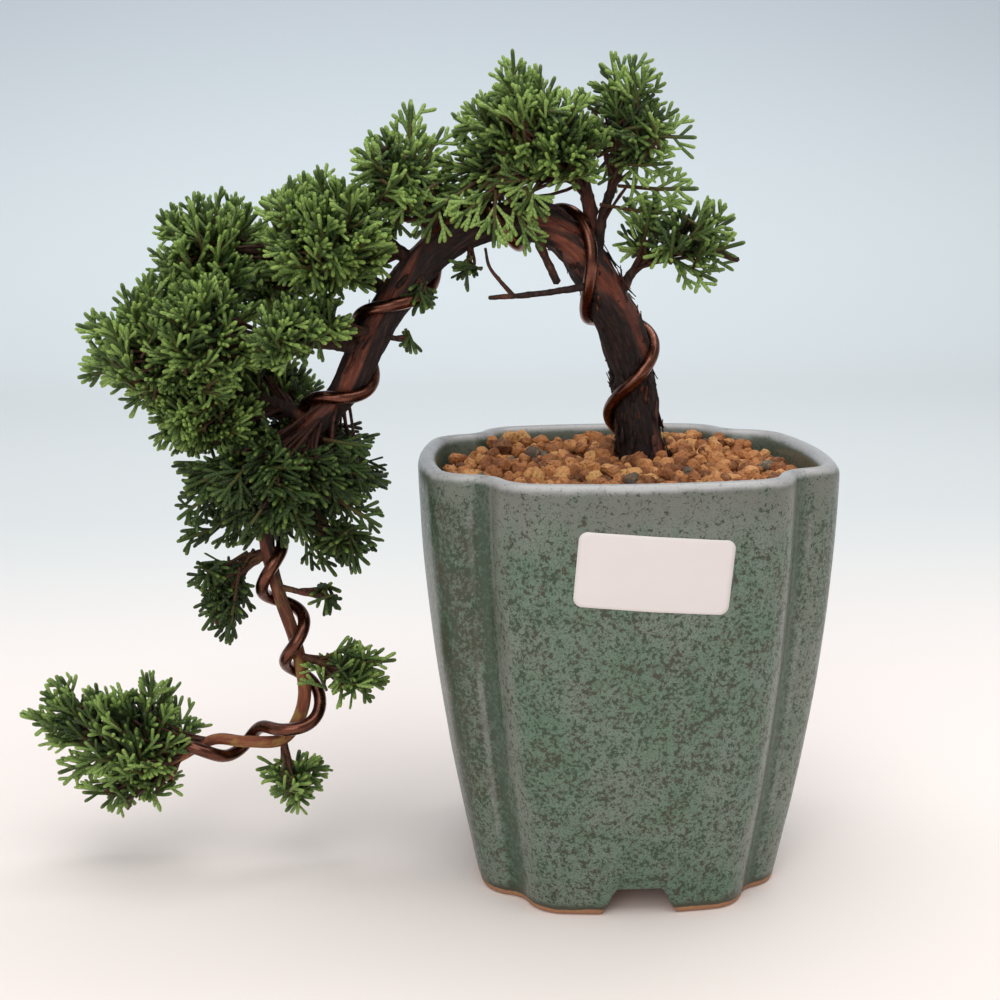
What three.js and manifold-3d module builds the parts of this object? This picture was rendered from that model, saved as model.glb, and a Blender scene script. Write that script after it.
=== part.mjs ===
// A small bonsai tree in a pot: a semi-cascade juniper whose wired trunk rises from the gravel, arches over
// the rim and hangs down beside a square, four-lobed, glazed pot on corner feet.
// Units are millimetres and +Z is up. Everything is worked out about the pot's own axis, with z = 0 on the
// table. The last lines move the whole tree so that the origin is under the middle of its bounding box.
import * as THREE from 'three';
import { mergeVertices } from 'three/addons/utils/BufferGeometryUtils.js';
import Module from 'manifold-3d';

const wasm = await Module();
wasm.setup();

// ---------------------------------------------------------------- driving dimensions
const GAP = 0.35;                 // clearance kept between pieces that touch
const POT_HEIGHT = 124.5;
const POT_HALF = 59.5;            // half the width across the faces at the rim
const POT_BASE_HALF = 44.2;       // the same at the table
const BULGE_POWER = 1.78;         // 1 would give straight walls, more makes them belly out
const FACE_RADIUS = 150;          // plan radius of each nearly flat face
const CORNER_SHARE = 0.25;        // a lobe's corner radius, as a share of the half width
const CREASE_RIM = 42.3;          // x and y of the crease between two lobes, at the rim
const CREASE_BASE = 32.3;
const CREASE_FILLET = 8;
const WALL = 5.4;
const FLOOR_TOP = 12;
const FOOT_HEIGHT = 7.6;
const FOOT_WIDTH = 7;
const NOTCH_HALF_BOTTOM = 9.3;    // half width of the opening between two feet, at the table
const NOTCH_HALF_TOP = 5.2;
const DRAIN_RADIUS = 9;

const MESH_HALF = 10.2;           // square drain mesh inside the pot
const MESH_THICK = 1.2;
const MESH_PITCH = 14 / 3;
const MESH_HOLE = 3.2;
const CLIP_RADIUS = 0.75;
const MESH_ROOM_HEIGHT = 9;       // height of the space that the soil leaves round mesh and clip

const SOIL_TOP = 112;
const GRAVEL_EDGE = 118.6;        // top of the gravel where it meets the wall
const GRAVEL_MOUND = 3.2;         // how much higher it stands round the trunk
const GRAVEL_BUMP = 0.7;

const WIRE_RADIUS = 1.9;
const WIRE_OFF_BARK = 0.55;
const WIRE_STEPS_PER_TURN = 12;

const LABEL = { width: 40.5, height: 20, thick: 0.25, x: -0.6, z: 101.2, tilt: -4.8 };

// ---------------------------------------------------------------- materials
const finish = (color, roughness, metalness = 0) => (
  new THREE.MeshStandardMaterial({ color, roughness, metalness }));
const makeGlaze = () => finish(0x5c8579, 0.2);
const makeGravel = () => finish(0xb06a38, 0.85);
const makeSoil = () => finish(0x4a3526, 0.95);
const makeBark = () => finish(0x5a3022, 0.8);
const makeLeaf = () => finish(0x3c7034, 0.6);
const makeWire = () => finish(0x5e2f25, 0.3, 0.7);
const makePlastic = () => finish(0x20221f, 0.5);
const makePaper = () => finish(0xf4f5f5, 0.45);

// ---------------------------------------------------------------- solids
const toSolid = (geometry) => {
  const bare = geometry.clone();
  bare.deleteAttribute('normal');
  bare.deleteAttribute('uv');
  const merged = mergeVertices(bare, 1e-4);
  return new wasm.Manifold(new wasm.Mesh({
    numProp: 3,
    vertProperties: new Float32Array(merged.attributes.position.array),
    triVerts: new Uint32Array(merged.index.array),
  }));
};

const toGeometry = (solid) => {
  const mesh = solid.getMesh();
  const geometry = new THREE.BufferGeometry();
  geometry.setAttribute('position', new THREE.BufferAttribute(new Float32Array(mesh.vertProperties), 3));
  geometry.setIndex(new THREE.BufferAttribute(new Uint32Array(mesh.triVerts), 1));
  return geometry;
};

const join = (solids) => solids.reduce((whole, next) => whole.add(next));
const cut = (solid, tools) => tools.reduce((rest, tool) => rest.subtract(tool), solid);

// A cut can leave crumbs, so only the largest body stays.
const largest = (solid) => solid.decompose().reduce((a, b) => (a.volume() >= b.volume() ? a : b));

// Closed skin through a list of rings of equal length, closed by a fan at each end.
const loft = (rings) => {
  const count = rings[0].length;
  const points = rings.flat();
  const faces = [];
  for (let k = 0; k < rings.length - 1; k += 1) {
    for (let i = 0; i < count; i += 1) {
      const j = (i + 1) % count;
      const [a, b] = [k * count + i, k * count + j];
      faces.push(a, b, b + count, a, b + count, a + count);
    }
  }
  const middle = (ring) => ring.reduce((sum, p) => sum.add(p), new THREE.Vector3()).divideScalar(count);
  const last = (rings.length - 1) * count;
  const [startCentre, endCentre] = [points.length, points.length + 1];
  for (let i = 0; i < count; i += 1) {
    const j = (i + 1) % count;
    faces.push(startCentre, j, i, endCentre, last + i, last + j);
  }
  const all = [...points, middle(rings[0]), middle(rings[rings.length - 1])];
  const geometry = new THREE.BufferGeometry();
  geometry.setAttribute('position', new THREE.Float32BufferAttribute(all.flatMap((p) => p.toArray()), 3));
  geometry.setIndex(faces);
  return geometry;
};

// Frames along a curve: tangent, the side nearest the viewer's front (-Y) and the third axis.
const FRONT = new THREE.Vector3(0, -1, 0);
const frameAt = (curve, share) => {
  const tangent = curve.getTangentAt(share);
  const front = FRONT.clone().addScaledVector(tangent, -FRONT.dot(tangent)).normalize();
  return { centre: curve.getPointAt(share), tangent, front, side: tangent.clone().cross(front) };
};

const ringAt = (frame, radius, sides) => Array.from({ length: sides }, (_, i) => {
  const angle = (2 * Math.PI * i) / sides;
  return frame.centre.clone()
    .addScaledVector(frame.front, radius * Math.cos(angle))
    .addScaledVector(frame.side, radius * Math.sin(angle));
});

const CURVE_DIVISIONS = 20;       // samples per given point when lengths along a stem are measured

// Stem: a tube whose radius follows its points, each given as [x, y, z, radius].
const stemCurve = (points) => (
  new THREE.CatmullRomCurve3(points.map(([x, y, z]) => new THREE.Vector3(x, y, z)), false, 'centripetal'));

const radiusAlong = (points, curve) => {
  const lengths = curve.getLengths((points.length - 1) * CURVE_DIVISIONS);
  const total = lengths[lengths.length - 1];
  const marks = points.map((_, i) => lengths[i * CURVE_DIVISIONS] / total);
  return (share) => {
    const next = Math.max(1, marks.findIndex((mark) => mark >= share - 1e-9));
    const t = (share - marks[next - 1]) / (marks[next] - marks[next - 1]);
    return THREE.MathUtils.lerp(points[next - 1][3], points[next][3], THREE.MathUtils.clamp(t, 0, 1));
  };
};

const stem = (points, { sides = 6, steps = 6, grow = 0 } = {}) => {
  const curve = stemCurve(points);
  const radius = radiusAlong(points, curve);
  const rings = Array.from({ length: steps + 1 }, (_, k) => (
    ringAt(frameAt(curve, k / steps), radius(k / steps) + grow, sides)));
  return toSolid(loft(rings));
};

// ---------------------------------------------------------------- pot section
const wallHalf = (z) => {
  const share = Math.max(0, 1 - Math.max(0, z) / POT_HEIGHT);
  return POT_HALF - (POT_HALF - POT_BASE_HALF) * share ** BULGE_POWER;
};
const creaseAt = (z) => {
  const share = (wallHalf(z) - POT_BASE_HALF) / (POT_HALF - POT_BASE_HALF);
  return THREE.MathUtils.lerp(CREASE_BASE, CREASE_RIM, share);
};

const arcPoints = (centre, radius, from, to, segments) => Array.from({ length: segments }, (_, i) => {
  const angle = from + ((to - from) * i) / segments;
  return [centre[0] + radius * Math.cos(angle), centre[1] + radius * Math.sin(angle)];
});

// One eighth of the plan, from the middle of the +X face to the crease on the diagonal: a wide face arc, the
// lobe's corner arc and the fillet of the crease, all tangent. An inset keeps the three centres.
const eighthOutline = (half, crease, inset) => {
  const corner = CORNER_SHARE * half;
  const faceCentre = [half - FACE_RADIUS, 0];
  const d = crease + CREASE_FILLET / Math.SQRT2;
  const reachFace = FACE_RADIUS - corner;
  const reachCrease = corner + CREASE_FILLET;
  const span = Math.hypot(d - faceCentre[0], d);
  const base = Math.atan2(d, d - faceCentre[0]);
  const open = Math.acos((reachFace ** 2 + span ** 2 - reachCrease ** 2) / (2 * reachFace * span));
  const turn = base - open;
  const centre = [faceCentre[0] + reachFace * Math.cos(turn), reachFace * Math.sin(turn)];
  const toCrease = Math.atan2(d - centre[1], d - centre[0]);
  return [
    ...arcPoints(faceCentre, FACE_RADIUS - inset, 0, turn, 2),
    ...arcPoints(centre, corner - inset, turn, toCrease, 3),
    ...arcPoints([d, d], CREASE_FILLET + inset, toCrease + Math.PI, 1.25 * Math.PI, 1),
    [d - (CREASE_FILLET + inset) / Math.SQRT2, d - (CREASE_FILLET + inset) / Math.SQRT2],
  ];
};

const potRing = (half, crease, inset, z) => {
  const eighth = eighthOutline(half, crease, inset);
  const mirrored = eighth.slice(1, -1).reverse().map(([x, y]) => [y, x]);
  const quarter = [...eighth, ...mirrored];
  const ring = [];
  for (let side = 0; side < 4; side += 1) {
    const [c, s] = [[1, 0], [0, 1], [-1, 0], [0, -1]][side];
    quarter.forEach(([x, y]) => ring.push(new THREE.Vector3(c * x - s * y, s * x + c * y, z)));
  }
  return ring;
};
const wallRing = (z, inset, height = z) => potRing(wallHalf(z), creaseAt(z), inset, height);

// Prism of a plan outline given in (across, up), running along Y.
const prismAlongY = (outline, length) => {
  const shape = new THREE.Shape(outline.map(([x, z]) => new THREE.Vector2(x, z)));
  const geometry = new THREE.ExtrudeGeometry(shape, { depth: length, bevelEnabled: false });
  geometry.rotateX(Math.PI / 2);
  geometry.translate(0, length / 2, 0);
  return geometry;
};

// ---------------------------------------------------------------- pot
const makePot = () => {
  const outside = [[0, 0.8], [1.2, 0], [14, 0], [32, 0], [52, 0], [76, 0], [100, 0], [119, 0]]
    .map(([z, inset]) => wallRing(z, inset));
  const lip = [[122.6, 0.7], [POT_HEIGHT, 2.4], [POT_HEIGHT, 3.6], [122.8, WALL - 0.3], [119, WALL]]
    .map(([z, inset]) => wallRing(z, inset));
  const inside = [96, 70, 44, 26, FLOOR_TOP].map((z) => wallRing(z, WALL));
  const body = toSolid(loft([...outside, ...lip, ...inside]));

  const recess = toSolid(loft([wallRing(0, FOOT_WIDTH, -2), wallRing(0, FOOT_WIDTH, FOOT_HEIGHT)]));
  const notchOutline = [
    [-NOTCH_HALF_BOTTOM - 1.4, -2], [NOTCH_HALF_BOTTOM + 1.4, -2],
    [NOTCH_HALF_TOP + 1.5, FOOT_HEIGHT - 1.2], [NOTCH_HALF_TOP, FOOT_HEIGHT],
    [-NOTCH_HALF_TOP, FOOT_HEIGHT], [-NOTCH_HALF_TOP - 1.5, FOOT_HEIGHT - 1.2],
  ];
  const notch = prismAlongY(notchOutline, 2 * POT_HALF + 20);
  const crossNotch = notch.clone().rotateZ(Math.PI / 2);
  const drain = new THREE.CylinderGeometry(DRAIN_RADIUS, DRAIN_RADIUS, FLOOR_TOP + 4, 20);
  drain.rotateX(Math.PI / 2).translate(0, 0, FLOOR_TOP / 2);
  return cut(body, [recess, toSolid(notch), toSolid(crossNotch), toSolid(drain)]);
};

// ---------------------------------------------------------------- drain mesh and its clip
const makeDrainMesh = () => {
  const plate = new THREE.BoxGeometry(2 * MESH_HALF, 2 * MESH_HALF, MESH_THICK);
  const holes = [];
  for (let i = -1.5; i <= 1.5; i += 1) {
    for (let j = -1.5; j <= 1.5; j += 1) {
      const hole = new THREE.BoxGeometry(MESH_HOLE, MESH_HOLE, 3 * MESH_THICK);
      hole.translate(i * MESH_PITCH, j * MESH_PITCH, 0);
      holes.push(toSolid(hole));
    }
  }
  const z = FLOOR_TOP + GAP + MESH_THICK / 2;
  return cut(toSolid(plate), holes).translate([0, 0, z]);
};

const makeMeshClip = () => {
  const leg = 1.5 * MESH_PITCH;
  const y = 0.5 * MESH_PITCH;
  const over = FLOOR_TOP + 2 * GAP + MESH_THICK + CLIP_RADIUS;
  const under = FOOT_HEIGHT - GAP - CLIP_RADIUS;
  const half = [[leg + 6, under], [leg + 1.2, under], [leg, under + 1.2], [leg, over - 1.2], [leg - 1.2, over]];
  const left = half.map(([x, z]) => [-x, y, z, CLIP_RADIUS]);
  const right = half.map(([x, z]) => [x, y, z, CLIP_RADIUS]).reverse();
  return stem([...left, ...right], { sides: 6, steps: 22 });
};

// ---------------------------------------------------------------- trunk and roots
// x, y, z and radius of the wood, from the root crown in the soil to the growing tip.
const TRUNK = [
  [10, 25, 100, 7.5], [10, 23, 113, 9.2], [9, 21, 123, 7.6], [7, 20, 136, 6.6], [4, 18, 154, 6.2],
  [-2, 14, 168, 6.3], [-10, 11, 181, 6.0], [-20, 10, 189, 5.4], [-39, 8, 190, 5.0], [-53, 7, 183, 4.9],
  [-65, 6, 169, 4.8], [-73, 6, 156, 4.6], [-80, 6, 143, 4.2], [-92, 4, 130, 3.6], [-97, 2, 116, 3.1],
  [-104, 2, 101, 2.3], [-103, 1, 91, 2.0], [-101, 1, 82, 2.0], [-97, 1, 68, 1.9], [-95, 1, 52, 1.9],
  [-97, 1, 44, 1.9], [-102, 0, 38, 1.9], [-113, -1, 38, 1.8], [-122, -1, 39, 1.7], [-132, -1, 34, 1.5],
  [-142, 0, 28, 1.2],
];
const GRAVEL_POINT = 2;           // the trunk point at the gravel's surface
const ROOT_COUNT = 5;
const ROOT_CROWN = { x: 10, y: 23, z: 107, radius: 3.4 };
const ROOT_LENGTH = 30;

// Roots fan out round the crown and bend down. Their reach to the back is shorter, where the wall is near.
const rootPoints = (index) => {
  const { x, y, z, radius } = ROOT_CROWN;
  const angle = (2 * Math.PI * (index + 0.3)) / ROOT_COUNT;
  const reach = ROOT_LENGTH - 4 * (index % 2);
  const at = (share, drop, r) => [
    x + reach * share * Math.cos(angle), y + 0.6 * reach * share * Math.sin(angle), z - drop, r,
  ];
  return [[x, y, z, radius], at(0.4, 3, 2.8), at(0.75, 12, 2.1), at(1, 27, 1.2)];
};

const makeTrunk = (grow = 0) => join([
  stem(TRUNK, { sides: 8, steps: 48, grow }),
  ...Array.from({ length: ROOT_COUNT }, (_, i) => stem(rootPoints(i), { sides: 6, steps: 4, grow })),
]);

// ---------------------------------------------------------------- training wire
// [length along the trunk from the gravel, turns round it, extra slack]. A whole turn is where the wire lies
// across the front of the wood, and a half turn is where it is behind.
const WIRE_TURNS = [
  [-8, -0.6, 0], [12, -0.25, 0], [22, 0, 0.3], [31, 0.25, 0.6], [43, 0.72, 0.3], [61, 1, 0], [73, 1.25, 0],
  [84, 1.75, 0.3], [92, 2, 0.3], [97, 2.25, 0], [115, 2.6, 0], [132, 3, 0], [163, 4, 0], [192, 5, 0.2],
  [213, 5.75, 0.2], [219, 6, 0.3], [226, 6.25, 0.8], [236, 6.7, 0.6], [243, 7, 0.4], [249, 7.25, 0.6],
  [260, 7.7, 0.8], [265, 7.85, 2.2], [271, 8.05, 1.8], [281, 8.25, 0.8], [288, 8.65, 0.8], [294, 8.85, 1.4],
  [300, 9, 1], [306, 9.25, 0.6], [316, 9.75, 0.3],
];

const makeWirePath = () => {
  const curve = stemCurve(TRUNK);
  const wood = radiusAlong(TRUNK, curve);
  const total = curve.getLength();
  const toGravel = curve.getLengths((TRUNK.length - 1) * CURVE_DIVISIONS)[GRAVEL_POINT * CURVE_DIVISIONS];
  const place = (length, turns, slack) => {
    const share = THREE.MathUtils.clamp((toGravel + length) / total, 0, 1);
    const frame = frameAt(curve, share);
    const reach = wood(share) + WIRE_RADIUS + WIRE_OFF_BARK + slack;
    const angle = 2 * Math.PI * turns;
    return frame.centre
      .addScaledVector(frame.front, reach * Math.cos(angle))
      .addScaledVector(frame.side, reach * Math.sin(angle));
  };
  const points = WIRE_TURNS.slice(0, -1).flatMap((start, i) => {
    const end = WIRE_TURNS[i + 1];
    const steps = Math.ceil((end[1] - start[1]) * WIRE_STEPS_PER_TURN);
    return Array.from({ length: steps }, (_, k) => (
      place(...start.map((value, axis) => THREE.MathUtils.lerp(value, end[axis], k / steps)))));
  });
  return [...points, place(...WIRE_TURNS[WIRE_TURNS.length - 1])];
};

const wirePath = makeWirePath();

// Tube of constant radius through every point of a path, its rings square to the path.
const tubeAlong = (path, radius, sides) => {
  let reference = new THREE.Vector3(0, 0, 1);
  const rings = path.map((centre, i) => {
    const ahead = path[Math.min(i + 1, path.length - 1)];
    const behind = path[Math.max(i - 1, 0)];
    const tangent = ahead.clone().sub(behind).normalize();
    reference = reference.clone().addScaledVector(tangent, -reference.dot(tangent)).normalize();
    return ringAt({ centre, front: reference, side: tangent.clone().cross(reference) }, radius, sides);
  });
  return toSolid(loft(rings));
};

// ---------------------------------------------------------------- branches
// Every branch starts inside the trunk and is trimmed back to its bark. Points are [x, y, z, radius].
const BRANCHES = {
  crown_branch: [[-8, 11, 179, 2.2], [-8, 9, 194, 1.9], [-11, 7, 203, 1.6], [-14, 5, 210, 1.3],
    [-21, 4, 219, 1.0]],
  crown_right_branch: [[-6, 11, 180, 1.7], [-4, 7, 194, 1.4], [0, 4, 205, 1.1], [4, 1, 216, 0.8]],
  right_branch: [[2, 13, 171, 1.6], [6, 10, 177, 1.3], [14, 5, 181, 1.1], [22, 1, 182, 1.0],
    [33, -3, 179, 0.7]],
  arch_branch: [[-51, 7, 184, 1.7], [-56, 6, 194, 1.4], [-63, 3, 203, 1.1], [-67, 1, 211, 0.8]],
  upper_left_branch: [[-58, 7, 178, 2.0], [-69, 5, 186, 1.7], [-83, -1, 190, 1.3], [-93, -2, 192, 0.9]],
  rear_left_branch: [[-64, 6, 170, 2.2], [-82, 15, 178, 1.9], [-99, 19, 183, 1.5], [-119, 20, 184, 1.0]],
  front_left_branch: [[-74, 6, 155, 2.2], [-91, -3, 158, 1.8], [-111, -3, 158, 1.5], [-137, 3, 156, 1.0]],
  front_spur: [[-70, 6, 160, 1.4], [-82, -7, 160, 1.1], [-93, -20, 162, 0.8]],
  low_left_branch: [[-89, 4, 132, 1.8], [-98, 7, 138, 1.6], [-112, 7, 141, 1.2], [-125, 6, 142, 0.9]],
  hanging_branch: [[-102, 1, 97, 1.4], [-111, 1, 91, 1.2], [-118, 1, 82, 0.9], [-120, 1, 74, 0.7]],
  inner_spur: [[-100, 2, 109, 1.2], [-91, 0, 103, 1.0], [-82, 0, 98, 0.8]],
  lower_spur: [[-101, 1, 85, 1.0], [-95, -1, 84, 0.9], [-89, -3, 83, 0.7]],
  elbow_branch: [[-96, 1, 64, 1.1], [-90, -1, 62, 0.9], [-81, -2, 60, 0.7]],
  elbow_twig: [[-102, 0, 38, 1.1], [-100, -2, 31, 0.9], [-98, -3, 25, 0.7]],
  bare_twig: [[-7, 7, 172, 1.2], [-19, 3, 170.5, 0.9], [-29, 1, 169.5, 0.8], [-38, 1, 169, 0.6]],
  dead_stub: [[-25, 9, 190, 1.6], [-22, 7, 182, 1.3], [-18, 5, 173, 1.1]],
  underside_twig: [[-43, 8, 189, 1.1], [-43, 5, 182, 0.9], [-44, 3, 177, 0.7]],
  drooping_twig: [[-56, 7, 180, 1.2], [-57, 3, 175, 1.0], [-58, 1, 169, 0.7]],
  inner_arch_twig: [[-72, 6, 158, 1.0], [-67, 3, 158, 0.8], [-61, 2, 157, 0.6]],
};

// ---------------------------------------------------------------- foliage
// Each pad is the outer shape of one cluster of leafy shoots: [x, y, z, radius x, radius y, radius z] of
// the rounded masses that make it up.
const PADS = {
  crown_pad: [[-28, 6, 217, 20, 22, 17], [-16, -5, 212, 16, 17, 15], [-36, 5, 202, 13, 15, 10]],
  crown_right_pad: [[3, 2, 215, 14, 15, 17], [-2, 10, 222, 13, 12, 13]],
  right_pad: [[18, 0, 186, 17, 15, 12], [8, 7, 188, 11, 13, 11]],
  arch_pad: [[-64, 3, 203, 13, 17, 16], [-55, 13, 198, 10, 12, 12]],
  upper_left_pad: [[-83, -5, 187, 20, 24, 18], [-88, 13, 191, 15, 18, 15]],
  rear_left_pad: [[-118, 19, 181, 19, 25, 19], [-104, 31, 176, 15, 17, 15]],
  front_left_pad: [[-137, 5, 156, 21, 24, 22], [-120, -10, 160, 16, 17, 17]],
  front_spur_pad: [[-94, -22, 162, 12, 12, 11]],
  low_left_pad: [[-120, 8, 137, 20, 26, 14], [-103, 25, 141, 15, 15, 14]],
  hanging_pad: [[-102, -4, 116, 27, 19, 19], [-93, 18, 117, 22, 18, 20]],
  inner_pad: [[-82, -1, 98, 10, 10, 9]],
  hanging_spray: [[-118, 1, 83, 9, 9, 14]],
  lower_spur_pad: [[-88, -3, 82, 6, 7, 6]],
  elbow_pad: [[-82, -2, 60, 13, 9, 9]],
  below_elbow_pad: [[-98, -4, 27, 11, 10, 10]],
  tail_pad: [[-146, 0, 42, 21, 18, 17], [-162, 1, 46, 16, 14, 12], [-149, 2, 25, 15, 14, 9]],
  under_arch_pad: [[-44, 2, 177, 6, 7, 6]],
  drooping_pad: [[-58, 1, 170, 6, 6, 8]],
  inner_arch_pad: [[-61, 2, 157, 5, 5, 5]],
};

const FINE_PAD_RADIUS = 19;       // bigger masses get a finer skin
const SLEEVE_PAD_RADIUS = 12;     // pads bigger than this clear trunk and wire by one plain sleeve
const SLEEVE = 2 * WIRE_RADIUS + WIRE_OFF_BARK + 1.6;

const makePad = (masses, grow = 0) => join(masses.map(([x, y, z, rx, ry, rz]) => {
  const mass = new THREE.IcosahedronGeometry(1, rx > FINE_PAD_RADIUS ? 2 : 1);
  mass.scale(rx + grow, ry + grow, rz + grow);
  mass.translate(x, y, z);
  return toSolid(mass);
}));

// ---------------------------------------------------------------- soil and gravel
const makeSoilBody = () => {
  const heights = [FLOOR_TOP + GAP, 26, 44, 70, 96, SOIL_TOP];
  return toSolid(loft(heights.map((z) => wallRing(z, WALL + GAP))));
};

// Uneven, repeatable height of the stones' tops.
const bump = (x, y) => GRAVEL_BUMP * (Math.sin(1.31 * x + 0.4 * y) + Math.sin(1.17 * y - 0.6 * x)) / 2;

const makeGravelBody = () => {
  const bottom = wallRing(SOIL_TOP + GAP, WALL + GAP);
  const topAt = (point) => {
    const away = Math.hypot(point.x - ROOT_CROWN.x, point.y - ROOT_CROWN.y) / POT_HALF;
    return GRAVEL_EDGE + GRAVEL_MOUND * Math.exp(-3 * away * away) + bump(point.x, point.y);
  };
  const shares = [1, 0.8, 0.6, 0.4, 0.2];
  const tops = shares.map((share) => wallRing(GRAVEL_EDGE, WALL + GAP).map((point) => {
    const spot = new THREE.Vector3(point.x * share, point.y * share, 0);
    return spot.setZ(topAt(spot));
  }));
  return toSolid(loft([bottom, ...tops]));
};

// ---------------------------------------------------------------- blank paper label on the front face
const makeLabel = () => {
  const { width, height, thick, x, z, tilt } = LABEL;
  const sheet = new THREE.BoxGeometry(width, thick, height, 8, 1, 3);
  const place = sheet.attributes.position;
  const turn = THREE.MathUtils.degToRad(tilt);
  for (let i = 0; i < place.count; i += 1) {
    const [across, off, up] = [place.getX(i), place.getY(i), place.getZ(i)];
    const px = x + across * Math.cos(turn) - up * Math.sin(turn);
    const pz = z + across * Math.sin(turn) + up * Math.cos(turn);
    const face = wallHalf(pz) - FACE_RADIUS + Math.sqrt(FACE_RADIUS ** 2 - px ** 2);
    place.setXYZ(i, px, -(face + GAP + thick / 2) + off, pz);
  }
  return toSolid(sheet);
};

// ---------------------------------------------------------------- assembly
const tree = new THREE.Group();

// Adds a solid as a mesh whose own origin is the middle of its box.
const addPiece = (name, solid, material) => {
  const geometry = toGeometry(solid);
  geometry.computeBoundingBox();
  const middle = geometry.boundingBox.getCenter(new THREE.Vector3());
  geometry.translate(-middle.x, -middle.y, -middle.z);
  const mesh = new THREE.Mesh(geometry, material);
  mesh.name = name;
  mesh.position.copy(middle);
  tree.add(mesh);
};

const trunk = makeTrunk();
const trunkRoom = makeTrunk(GAP);
const wire = tubeAlong(wirePath, WIRE_RADIUS, 6);
const wireRoom = tubeAlong(wirePath, WIRE_RADIUS + GAP, 6);
const meshRoom = new THREE.BoxGeometry(2 * (MESH_HALF + GAP), 2 * (MESH_HALF + GAP), MESH_ROOM_HEIGHT);
meshRoom.translate(0, 0, FLOOR_TOP);

addPiece('pot', makePot(), makeGlaze());
addPiece('drain_mesh', makeDrainMesh(), makePlastic());
addPiece('mesh_clip', makeMeshClip(), makeWire());
addPiece('potting_soil', largest(cut(makeSoilBody(), [toSolid(meshRoom), trunkRoom, wireRoom])), makeSoil());
addPiece('gravel_top_dressing', largest(cut(makeGravelBody(), [trunkRoom, wireRoom])), makeGravel());
addPiece('trunk', trunk, makeBark());
addPiece('training_wire', wire, makeWire());
addPiece('paper_label', makeLabel(), makePaper());

const woodRooms = [trunkRoom, wireRoom];
const takenRooms = [];
Object.entries(BRANCHES).forEach(([name, points]) => {
  addPiece(name, largest(cut(stem(points), [...woodRooms, ...takenRooms])), makeBark());
  takenRooms.push(stem(points, { grow: GAP }));
});
const sleeve = stem(TRUNK, { sides: 8, steps: 30, grow: SLEEVE });
Object.entries(PADS).forEach(([name, masses]) => {
  const wood = masses[0][3] > SLEEVE_PAD_RADIUS ? [sleeve] : woodRooms;
  addPiece(name, largest(cut(makePad(masses), [...wood, ...takenRooms])), makeLeaf());
  takenRooms.push(makePad(masses, GAP));
});

const whole = new THREE.Box3().setFromObject(tree);
const middle = whole.getCenter(new THREE.Vector3());
tree.position.set(-middle.x, -middle.y, -whole.min.z);

const group = new THREE.Group();
group.add(tree);

export default group;
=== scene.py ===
import itertools
import math

import bpy
import numpy as np
from mathutils import Matrix, Vector


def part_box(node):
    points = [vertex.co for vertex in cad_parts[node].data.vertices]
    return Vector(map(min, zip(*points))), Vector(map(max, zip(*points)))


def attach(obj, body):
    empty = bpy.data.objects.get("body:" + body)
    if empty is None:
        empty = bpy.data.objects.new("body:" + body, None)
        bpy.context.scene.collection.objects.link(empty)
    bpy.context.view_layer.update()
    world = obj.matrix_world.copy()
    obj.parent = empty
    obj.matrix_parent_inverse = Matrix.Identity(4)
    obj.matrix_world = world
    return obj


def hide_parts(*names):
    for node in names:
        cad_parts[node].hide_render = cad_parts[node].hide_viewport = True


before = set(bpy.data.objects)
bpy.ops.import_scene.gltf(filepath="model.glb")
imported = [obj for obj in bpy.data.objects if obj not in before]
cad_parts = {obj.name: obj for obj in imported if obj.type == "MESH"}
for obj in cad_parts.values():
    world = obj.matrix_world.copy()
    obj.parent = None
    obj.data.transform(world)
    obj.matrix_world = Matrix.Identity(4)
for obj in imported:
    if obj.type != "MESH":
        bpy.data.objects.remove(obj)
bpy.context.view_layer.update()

# A small semi-cascade juniper in a square, four-lobed, glazed pot. Shapes are worked out in millimetres
# about the pot's own axis, with z = 0 on the table, and put into the shared frame in metres by place().
MM = 0.001
BODY = "root"
pot_low, pot_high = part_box("pot")
POT_AXIS = np.array([(pot_low.x + pot_high.x) / 2, (pot_low.y + pot_high.y) / 2, 0.0])
POT_HEIGHT = pot_high.z / MM
POT_HALF = (pot_high.x - pot_low.x) / 2 / MM

# ---------------------------------------------------------------- pot section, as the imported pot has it,
# but for openings between the feet that are a little wider and a label 1.6 mm further to the right
POT_BASE_HALF = 44.2
BULGE_POWER = 1.78
FACE_RADIUS = 150
CORNER_SHARE = 0.25
CREASE_RIM = 42.3
CREASE_BASE = 32.3
CREASE_FILLET = 8
WALL = 5.4
FLOOR_TOP = 12
FOOT_HEIGHT = 7.6
FOOT_WIDTH = 7
NOTCH_HALF_BOTTOM = 11.0
NOTCH_HALF_TOP = 5.9
DRAIN_RADIUS = 9

GRAVEL_EDGE = 118.6
GRAVEL_MOUND = 3.2
ROOT_CROWN = (10, 23, 107)

LABEL = {"width": 40.5, "height": 20, "x": 1.0, "z": 101.2, "tilt": -4.8, "corner": 2.4}

# ---------------------------------------------------------------- wood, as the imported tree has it
# x, y, z and radius of the wood, from the root crown in the soil to the growing tip.
TRUNK = [
    [10, 25, 100, 7.5], [10, 23, 113, 9.2], [9, 21, 123, 7.6], [7, 20, 136, 6.6], [4, 18, 154, 6.2],
    [-2, 14, 168, 6.3], [-10, 11, 181, 6.0], [-20, 10, 189, 5.4], [-39, 8, 190, 5.0], [-53, 7, 183, 4.9],
    [-65, 6, 169, 4.8], [-73, 6, 156, 4.6], [-80, 6, 143, 4.2], [-92, 4, 130, 3.6], [-97, 2, 116, 3.1],
    [-104, 2, 101, 2.3], [-103, 1, 91, 2.0], [-101, 1, 82, 2.0], [-97, 1, 68, 1.9], [-95, 1, 52, 1.9],
    [-97, 1, 44, 1.9], [-102, 0, 38, 1.9], [-113, -1, 38, 1.8], [-122, -1, 39, 1.7], [-132, -1, 34, 1.5],
    [-142, 0, 28, 1.2],
]
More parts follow.
